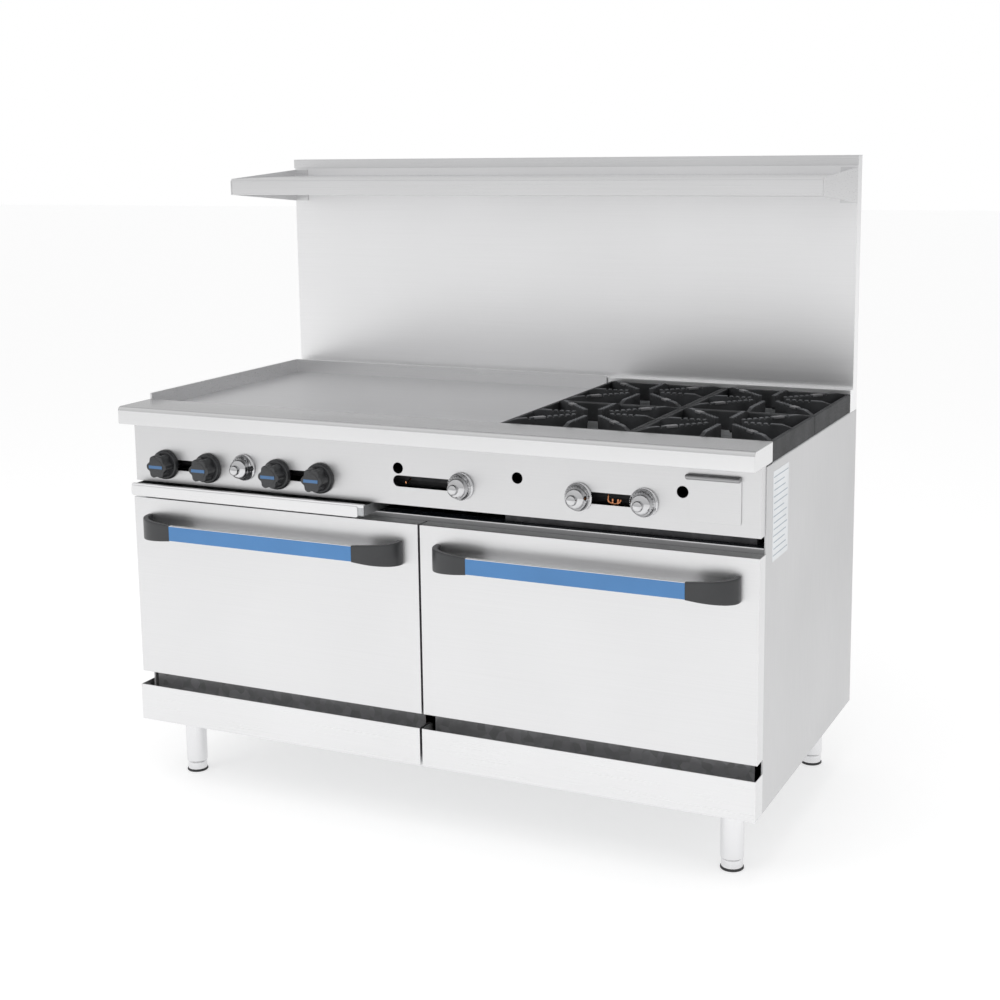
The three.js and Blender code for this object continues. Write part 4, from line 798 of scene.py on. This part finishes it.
def handle_end(side, end):
    node = f"handle_cap_{side}_{end}"
    low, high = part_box(node)
    out = -1 if end == "left" else 1
    start = high[0] if out < 0 else low[0]
    length = high[0] - low[0]
    front, root = low[1], high[1]
    z = (low[2] + high[2]) / 2
    half_bar = (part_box(f"handle_bar_{side}")[1][2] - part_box(f"handle_bar_{side}")[0][2]) / 2
    half_tall = (high[2] - low[2]) / 2
    thick = CAP_THICK

    def plan(x, y):
        return Vector((start + out * x, y, z))

    middle_line = front + thick / 2
    flat = length * CAP_FLAT
    path = [plan(0, middle_line), plan(flat / 2, middle_line)]
    bend = [
        (flat, middle_line),
        (flat + (length - flat) * 0.56, middle_line + 0.001),
        (length * 0.99, front + (root - front) * 0.46),
        (length - thick * 0.6, root)]
    for step in range(CAP_BEND + 1):
        t = step / CAP_BEND
        weights = ((1 - t) ** 3, 3 * t * (1 - t) ** 2, 3 * t * t * (1 - t), t ** 3)
        path.append(plan(*(sum(w * b[k] for w, b in zip(weights, bend)) for k in (0, 1))))
    stations = []
    steps = [0.0] + [(b - a).length for a, b in zip(path, path[1:])]
    for index, point in enumerate(path):
        along = (path[min(index + 1, len(path) - 1)] - path[max(index - 1, 0)]).normalized()
        across = along.cross(Vector((0, 0, 1)))
        gone = sum(steps[:index + 1]) / sum(steps)
        tall = half_bar + (half_tall - half_bar) * gone ** CAP_GROWTH
        if index == len(path) - 1:
            along = Vector((0, 1, 0))
            across = along.cross(Vector((0, 0, 1)))
        stations.append(squarish_ring(point, across, thick / 2 * (1 + 0.3 * gone), tall))
    bm = bmesh.new()
    swept(bm, stations)
    finished(
        bm, f"handle_end_{side}_{end}", handle_plastic, "handle_plastic", f"door_{side}", node,
        sharp=45)


def handle_bar(side):
    node = f"handle_bar_{side}"
    low, high = (Vector(corner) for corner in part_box(node))
    bm = bmesh.new()
    cuboid(bm, low + Vector((0, 0.0006, 0)), high, 0.0008)
    finished(bm, f"handle_flat_{side}", bright_steel, "polished_steel", f"door_{side}", node)
    bare = Vector((0, 0, BARE_EDGE))
    face_high = Vector((high.x, low.y + PAINT_DEPTH, high.z)) - bare
    bm = bmesh.new()
    cuboid(bm, low + bare, face_high, 0.0003)
    finished(bm, f"handle_face_{side}", blue_paint, "handle_blue", f"door_{side}")


for side in SIDES:
    handle_bar(side)
    for end in SIDES:
        handle_end(side, end)
bar_low, bar_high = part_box("handle_bar_left")
print("handle bars are", round(bar_high[0] - bar_low[0], 3), "m long")

# %% [markdown]
# ## Legs and feet
# A polished sleeve hides the leg's thread; the adjustable foot below it has a narrow collar and a
# broad dark pad. Both are turned shapes.

# %% Legs and feet
ROWS = ("front", "rear")
leg_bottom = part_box("leg_front_left")[0][2]
leg_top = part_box("leg_front_left")[1][2]
for row in ROWS:
    for side in SIDES:
        leg = f"leg_{row}_{side}"
        foot = f"foot_{row}_{side}"
        base = middle(leg)
        base.z = 0
        reach = (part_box(leg)[1][0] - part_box(leg)[0][0]) / 2
        bm = bmesh.new()
        spun(bm, [(0.0165, leg_bottom), (0.0235, leg_bottom), (0.0250, leg_bottom + 0.002),
                  (0.0252, leg_bottom + 0.02), (0.0252, leg_top - 0.004), (0.0, leg_top - 0.004),
                  (0.0, leg_top - 0.04), (0.0165, leg_top - 0.04), (0.0165, leg_bottom)],
             base, (0, 0, 1), 48)
        cuboid(bm, base + Vector((-reach, -reach, leg_top - 0.0035)),
               base + Vector((reach, reach, leg_top)), 0.0008)
        finished(bm, leg + "_sleeve", leg_steel, "polished_steel", "root", leg)
        bm = bmesh.new()
        spun(bm, [(0, 0.0052), (0.0225, 0.0052), (0.0232, 0.0062), (0.0232, leg_bottom - 0.004),
                  (0.0215, leg_bottom - 0.0006), (0.0095, leg_bottom - 0.0006),
                  (0.0095, leg_bottom + 0.05), (0, leg_bottom + 0.05)], base, (0, 0, 1), 48)
        finished(bm, foot + "_collar", leg_steel, "polished_steel", "root")
        bm = bmesh.new()
        spun(bm, [(0, 0), (0.0238, 0), (0.0252, 0.0014), (0.0250, 0.0044), (0.0235, 0.0051),
                  (0, 0.0051)], base, (0, 0, 1), 48)
        finished(bm, foot + "_pad", black_rubber, "foot_rubber", "root", foot)
print("legs are", round(leg_top / MM), "mm high")

# %% [markdown]
# ## Cast grates
# A grate is a rectangular skirt with eight tall webs that run in towards the flame and stop short
# of it. The webs' tops are cut into low teeth, so that pans grip, and paler flat pads sit on the
# diagonal webs. Real ones are poured in one piece in sand. Here the skirt is an inset frame with
# rounded edges, and each web is one outline that is given its thickness.

# %% Cast grates
GRATE_EYE = 0.042
WEB = 0.009
WEB_DROP = 7 * MM
PAD_REACH = 0.128
PAD_SIZE = (0.026, 0.014, 0.005)
PAD_SINK = 2.2 * MM
TOOTH = 0.0105
TOOTH_DEPTH = 0.0042


def web_outline(length, low, high):
    """(distance, height) points of a web, from the open middle out to the skirt."""
    points = [(GRATE_EYE + 0.006, high - 0.034), (GRATE_EYE, high - 0.028), (GRATE_EYE, high)]
    place = GRATE_EYE
    while place + 2 * TOOTH < length * 0.80:
        points += [
            (place + TOOTH * 0.62, high), (place + TOOTH * 0.80, high - TOOTH_DEPTH),
            (place + TOOTH * 1.18, high - TOOTH_DEPTH), (place + TOOTH * 1.36, high)]
        place += TOOTH * 1.36
    points += [(length * 0.84, high), (length, high - WEB_DROP), (length, low + 0.004)]
    points += [(length * 0.72, low + 0.010)]
    return points


def grate_web(bm, centre, angle, length, low, high):
    turn = Matrix.Translation((centre.x, centre.y, 0)) @ Matrix.Rotation(angle, 4, "Z")
    ring = [bm.verts.new(turn @ Vector((d, -WEB / 2, z)))
            for d, z in web_outline(length, low, high)]
    face = bm.faces.new(ring)
    pushed(bm, [face], turn.to_3x3() @ Vector((0, WEB, 0)))


def cast_grate(index):
    node = f"burner_grate_{index}"
    low, high = (Vector(corner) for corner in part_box(node))
    centre = (low + high) / 2
    half_x = (high.x - low.x) / 2
    half_y = (high.y - low.y) / 2
    skirt_top = high.z - WEB_DROP
    bm = bmesh.new()
    spread = Matrix.Diagonal((half_x, half_y, 1, 1))
    made = bmesh.ops.create_grid(
        bm, x_segments=1, y_segments=1, size=1,
        matrix=Matrix.Translation((centre.x, centre.y, low.z)) @ spread)
    outer = made["verts"][0].link_faces[0]
    bmesh.ops.inset_region(
        bm, faces=[outer], thickness=WEB, use_even_offset=True, use_boundary=True)
    bmesh.ops.delete(bm, geom=[outer], context="FACES")
    pushed(bm, list(bm.faces), (0, 0, skirt_top - low.z))
    bmesh.ops.recalc_face_normals(bm, faces=bm.faces)
    rounded(bm, edges_over(bm, 40), 0.0016)
    corner = math.atan2(half_y, half_x)
    slants = (corner, math.pi - corner, math.pi + corner, -corner)
    for quarter, slant in enumerate(slants):
        straight = quarter * math.pi / 2
        length = (half_y if quarter % 2 else half_x) - WEB / 2
        grate_web(bm, centre, straight, length, low.z, high.z)
        grate_web(bm, centre, slant, math.hypot(half_x, half_y) - WEB, low.z, high.z)
    finished(bm, f"cast_grate_{index}", grate_iron, "cast_iron", f"grate_{index}", node)
    bm = bmesh.new()
    for slant in slants:
        turn = (
            Matrix.Translation((centre.x, centre.y, high.z - PAD_SINK))
            @ Matrix.Rotation(slant, 4, "Z")
            @ Matrix.Translation((PAD_REACH, 0, 0)) @ Matrix.Diagonal((*PAD_SIZE, 1)))
        made = bmesh.ops.create_cube(bm, size=1, matrix=turn)
        rounded(bm, list({e for v in made["verts"] for e in v.link_edges}), 0.0010)
    finished(bm, f"grate_pads_{index}", cast_iron_pale, "cast_iron", f"grate_{index}")


for index in range(1, 5):
    cast_grate(index)

# %% [markdown]
# ## Open burners
# A cast burner is a flanged bowl with a lift-off cap; the gap between them is cut into ports. The
# mixing tube runs forward under the deck to its gas jet.

# %% Open burners
PORTS = 28
PORT_SIZE = (0.006, 0.0034, 0.0075)
PORT_REACH = 42.5 * MM
PORT_HEIGHT = 50.5 * MM
TUBE_RADIUS = 12 * MM
BURNER_BOWL = [  # radius and height, from the burner's foot up to below its cap's top
    (0, 0), (0.026, 0), (0.030, 0.003), (0.030, 0.0278), (0.049, 0.0283), (0.052, 0.031),
    (0.052, 0.044), (0.049, 0.047), (0.040, 0.047), (0.040, 0.053), (0.046, 0.0545),
    (0.046, 0.059)]


def open_burner(index):
    node = f"open_burner_{index}"
    low, high = (Vector(corner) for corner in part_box(node))
    grate_low, grate_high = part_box(f"burner_grate_{index}")
    centre = (Vector(grate_low) + Vector(grate_high)) / 2
    base = Vector((centre.x, centre.y, low.z))
    tall = high.z - low.z
    bm = bmesh.new()
    cap = [(0.042, tall - 0.002), (0.030, tall), (0, tall)]
    spun(bm, BURNER_BOWL + cap, base, (0, 0, 1), 56)
    for port in range(PORTS):
        turn = (
            Matrix.Translation(base + Vector((0, 0, PORT_HEIGHT)))
            @ Matrix.Rotation(2 * math.pi * port / PORTS, 4, "Z")
            @ Matrix.Translation((PORT_REACH, 0, 0)) @ Matrix.Diagonal((*PORT_SIZE, 1)))
        bmesh.ops.create_cube(bm, size=1, matrix=turn)
    tube_z = low.z + TUBE_RADIUS
    shift = 0.048 if high.y - low.y > 0.3 else 0.0
    far = centre.y - 0.02 if shift else centre.y
    runs = (low.y, low.y + 0.03, low.y + 0.05, far)
    path = [Vector((centre.x + shift, y, tube_z)) for y in runs]
    if shift:
        path += [Vector((centre.x + shift - 0.012, centre.y - 0.004, tube_z)),
                 Vector((centre.x, centre.y, tube_z))]
    tube(bm, path, TUBE_RADIUS, 16)
    spun(bm, [(0.0, 0.0), (0.017, 0.0), (0.0175, 0.004), (0.013, 0.02), (0.0, 0.02)],
         Vector((centre.x + shift, low.y, tube_z)), (0, 1, 0), 24)
    finished(bm, f"open_burner_{index}_head", cast_iron, "cast_iron", "root", node)


for index in range(1, 5):
    open_burner(index)
print("each burner has", PORTS, "ports")

# %% [markdown]
# ## Pilot tubes
# Thin copper tubes feed the pilots behind the lighting slots; they show as warm glints in the dark
# openings. Each is a smooth path.

# %% Pilot tubes
COPPER_RADIUS = 1.9 * MM
PILOT_PLACES = {"slot_1": (-0.604, 0.779), "slot_2": (-0.296, 0.779), "slot_3": (-0.040, 0.784)}
for slot_name, (x, z) in PILOT_PLACES.items():
    y = panel_face + 0.010
    bm = bmesh.new()
    tip = Vector((x, y, z))
    bends = ((0, 0.022, 0.006), (0, 0.012, 0.001), (0, 0, 0), (0, 0, 0.004))
    tube(bm, [tip + Vector(bend) for bend in bends], COPPER_RADIUS)
    finished(bm, f"pilot_tube_{slot_name}", copper, None, "root")
bm = bmesh.new()
coil = Vector((0.446, panel_face + 0.012, 0.787))
steps = 18
path = [coil + Vector((-0.014, 0.012, 0.014)), coil + Vector((-0.014, 0.004, 0.010))]
path += [
    coil + Vector((0.014 * math.cos(a), 0, 0.0085 * math.sin(a)))
    for a in (math.pi + 1.05 * math.pi * k / steps for k in range(steps + 1))]
tube(bm, path, COPPER_RADIUS)
for offset in (-0.004, 0.008):
    spun(bm, [(0, 0), (0.0034, 0), (0.0034, 0.003), (0.0022, 0.004), (0.0022, 0.009), (0, 0.009)],
         coil + Vector((offset, 0.001, -0.007)), (0, 0, 1), 16)
finished(bm, "pilot_tube_slot_4", copper, None, "root")
print("pilot tubes:", len(PILOT_PLACES) + 1)

# %% [markdown]
# ## Trim of the guard and the right side
# The guard's top edge is capped by a folded band, with a shadow line where it meets the sheet. The
# band is two thin sheets, one in front and one on top. The right side carries a blank rating label
# with a plain ruled table.

# %% Guard band and label
low, high = (Vector(corner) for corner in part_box("back_guard"))
guard_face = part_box("shelf_bracket_left")[1][1] + 0.0003
BAND_HEIGHT = 21 * MM
BAND_PROUD = 1 * MM
band_low = Vector((low.x - BAND_PROUD, guard_face - 0.0022, high.z - BAND_HEIGHT))
bm = bmesh.new()
cuboid(bm, band_low, (high.x + BAND_PROUD, guard_face - 0.0002, high.z + 0.0015), SHEET_EDGE)
cuboid(bm, (band_low.x, band_low.y, high.z),
       (high.x + BAND_PROUD, high.y + BAND_PROUD, high.z + 0.0018), SHEET_EDGE)
finished(bm, "guard_top_band", bright_steel, "polished_steel", "root")

side_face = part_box("side_panel_right")[1][0]
label_low = Vector((side_face - 0.0002, -0.283, 0.672))
label_high = Vector((side_face + 0.0005, -0.170, 0.858))
bm = bmesh.new()
cuboid(bm, label_low, label_high, 0.0002)
finished(bm, "blank_label", label_paper, None, "root")
bm = bmesh.new()
RULES = 13
for rule in range(RULES):
    z = label_low.z + 0.012 + (label_high.z - label_low.z - 0.024) * rule / (RULES - 1)
    inset = 0.008 if rule % 3 else 0.004
    cuboid(bm, (label_high.x - 0.0003, label_low.y + inset, z - 0.0011),
           (label_high.x + 0.0002, label_high.y - inset * (1 + rule % 4), z + 0.0011))
finished(bm, "label_rules", label_ink, None, "root")
print("label is", round((label_high.z - label_low.z) / MM), "mm tall")

# %% [markdown]
# ## Drip tray and service cover
# The tray's front is rolled: a thin flange lies on top, and a taller hanging lip below it ends
# short of the flange at the right, both with round corners. The service cover is a thin pressed lid
# with a rolled grip along its top. A rounded outline is made from a grid face whose corners are
# bevelled as points, and then it is given its thickness.


# %% Rounded plates
def rounded_plate(bm, low, high, corner, front, back, edge=0.0):
    """An upright plate facing the front, with round corners."""
    centre = Vector(((low[0] + high[0]) / 2, front, (low[1] + high[1]) / 2))
    half_sizes = Matrix.Diagonal(((high[0] - low[0]) / 2, 1, (high[1] - low[1]) / 2, 1))
    turn = Matrix.Rotation(math.pi / 2, 4, "X")
    made = bmesh.ops.create_grid(
        bm, x_segments=1, y_segments=1, size=1,
        matrix=Matrix.Translation(centre) @ half_sizes @ turn)
    corners = made["verts"]
    cut = bmesh.ops.bevel(
        bm, geom=corners, offset=corner, offset_type="OFFSET", affect="VERTICES", segments=6,
        profile=0.5, material=-1, clamp_overlap=True)
    face = next(f for v in cut["verts"] for f in v.link_faces)
    pushed(bm, [face], (0, back - front, 0))
    if edge:
        rims = [e for f in bm.faces if f.is_valid and len(f.verts) > 8 for e in f.edges]
        rounded(bm, list(set(rims)), edge)


tray_low, tray_high = (Vector(corner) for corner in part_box("drip_tray_left"))
oven_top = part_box("oven_liner_left")[1][2]
TRAY_WALL = 1.5 * MM
lip_right = tray_high.x - 15 * MM
bm = bmesh.new()
cuboid(bm, (tray_low.x, tray_low.y + 0.001, oven_top + 0.3 * MM),
       (tray_high.x, tray_high.y, oven_top + 1.8 * MM), 0.0005)
wall_bottom = oven_top + TRAY_WALL
wall_top = tray_high.z - 3 * MM
for x0, x1 in ((tray_low.x, tray_low.x + TRAY_WALL), (tray_high.x - TRAY_WALL, tray_high.x)):
    cuboid(bm, (x0, tray_low.y + 0.002, wall_bottom), (x1, tray_high.y, wall_top), 0.0004)
for y0, y1 in ((tray_low.y + 0.0018, tray_low.y + 0.0033), (tray_high.y - TRAY_WALL, tray_high.y)):
    cuboid(bm, (tray_low.x, y0, wall_bottom), (tray_high.x, y1, wall_top), 0.0004)
finished(bm, "drip_tray_left_pan", galvanised, "galvanised_steel", "tray_left", "drip_tray_left")
bm = bmesh.new()
lip_top = tray_high.z - 4.5 * MM
rounded_plate(bm, (tray_low.x, tray_low.z), (lip_right, lip_top), 0.005,
              tray_low.y, tray_low.y + 0.0016, 0.0005)
finished(bm, "drip_tray_left_lip", bright_steel, "polished_steel", "tray_left")
bm = bmesh.new()
rounded_plate(bm, (tray_low.x, tray_high.z - 0.0075), (tray_high.x, tray_high.z), 0.003,
              tray_low.y + 0.0017, tray_low.y + 0.0100, 0.0008)
finished(bm, "drip_tray_left_flange", bright_steel, "polished_steel", "tray_left")

cover_low, cover_high = (Vector(corner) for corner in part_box("service_cover"))
cover_left = cover_low.x + 0.007
lid_top = cover_high.z - 0.004
bm = bmesh.new()
rounded_plate(bm, (cover_left, cover_low.z), (cover_high.x, lid_top), 0.006, panel_face - 0.0033,
              panel_face - 0.0003, 0.0012)
finished(bm, "service_lid", panel_steel, "polished_steel", "root", "service_cover")
bm = bmesh.new()
grip = Vector((cover_low.x + 0.001, panel_face - 0.0072, cover_high.z - 0.0058))
grip_length = cover_high.x - grip.x
spun(bm, [(0, 0), (0.0040, 0.0005), (0.0056, 0.003), (0.0058, grip_length - 0.006),
          (0.0050, grip_length - 0.002), (0, grip_length - 0.001)], grip, (1, 0, 0), 32)
# the grip's dark steel is painted shade
finished(bm, "service_lid_grip", shaded_grip_steel, "polished_steel", "root")
print("tray lip is", round(lip_right - tray_low.x, 3), "m wide")

# %% [markdown]
# ## Fixings on the back
# The back panel and the guard are screwed to the cabinet along their edges, and the gas inlet ends
# in a threaded collar. Screw heads are low domes, so one spun outline is repeated.

# %% Screws and inlet collar
back_low, back_high = (Vector(corner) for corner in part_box("back_panel"))
BACK = Vector((0, 1, 0))
SCREW_HEAD = [  # radius and height, from the sheet
    (0, -0.0005), (0.0055, -0.0005), (0.0058, 0.0008), (0.004, 0.0024), (0, 0.003)]
INLET_NUT = [  # radius and length, along the pipe
    (0.0135, 0), (0.019, 0), (0.019, 0.018), (0.018, 0.02), (0.0135, 0.02), (0.0135, 0)]
places = []
for row in range(6):
    z = back_low.z + 0.03 + (back_high.z - back_low.z - 0.06) * row / 5
    places += [Vector((x, back_high.y, z)) for x in (back_low.x + 0.02, 0.0, back_high.x - 0.02)]
for column in range(9):
    x = back_low.x + 0.04 + (back_high.x - back_low.x - 0.08) * column / 8
    places.append(Vector((x, back_high.y, high.z - 0.03)))
    places.append(Vector((x, back_high.y, back_high.z + 0.03)))
bm = bmesh.new()
for place in places:
    spun(bm, SCREW_HEAD, place, BACK, 12)
finished(bm, "back_screws", rack_plating, "galvanised_steel", "root")
inlet = Vector((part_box("gas_manifold")[1][0] - 0.013, back_high.y - 0.028, 0.785))
bm = bmesh.new()
spun(bm, INLET_NUT, inlet, BACK, 6)
finished(bm, "inlet_collar", pipe_iron, "iron_pipe", "root")
print("screws:", len(places))

# %% [markdown]
# ## Inside the ovens
# With a door open, the eye finds a pressed inner panel, a wire rack and the thermostat's bulb on
# the side wall. The panel's raised field is a rounded block, and the bulb is a turned rod in two
# clips.

# %% Oven details
THERMOSTAT_BULB = [  # radius and length
    (0, 0), (0.003, 0.001), (0.0042, 0.004), (0.0042, 0.14), (0.002, 0.15), (0, 0.15)]
for side in SIDES:
    body = f"door_{side}"
    low, high = (Vector(corner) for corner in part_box(f"door_liner_{side}"))
    rack_low, rack_high = (Vector(corner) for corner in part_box(f"oven_rack_{side}"))
    bm = bmesh.new()
    cuboid(bm, (rack_low.x + 0.01, high.y - 0.001, low.z + 0.06),
           (rack_high.x - 0.01, high.y + 0.004, high.z - 0.045), 0.0035, 4)
    finished(bm, f"door_pressing_{side}", enamel, "oven_enamel", body)
    bulb_x = rack_high.x - 0.012
    bm = bmesh.new()
    bulb = Vector((bulb_x, 0.02, rack_high.z + 0.12))
    spun(bm, THERMOSTAT_BULB, bulb, BACK, 16)
    for offset in (0.03, 0.115):
        cuboid(bm, (bulb_x - 0.006, bulb.y + offset, bulb.z - 0.006),
               (bulb_x + 0.0155, bulb.y + offset + 0.008, bulb.z + 0.006), 0.0008)
    finished(bm, f"oven_bulb_{side}", copper, None, "root")
print("thermostat bulbs:", len(SIDES))

# %% [markdown]
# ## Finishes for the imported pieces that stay
# Wire racks, tube burners, the manifold and the doors' inner panels already have their right shape,
# so they only take a finish.

# %% Finish the kept pieces
KEPT = {
    "oven_rack_left": rack_plating, "oven_rack_right": rack_plating,
    "oven_burner_left": pipe_iron, "oven_burner_right": pipe_iron,
    "griddle_burner": pipe_iron, "gas_manifold": pipe_iron,
    "door_liner_left": enamel, "door_liner_right": enamel,
}
for node, material in KEPT.items():
    nodes[node].data.materials.clear()
    nodes[node].data.materials.append(material)
print("kept", len(KEPT), "packed pieces")
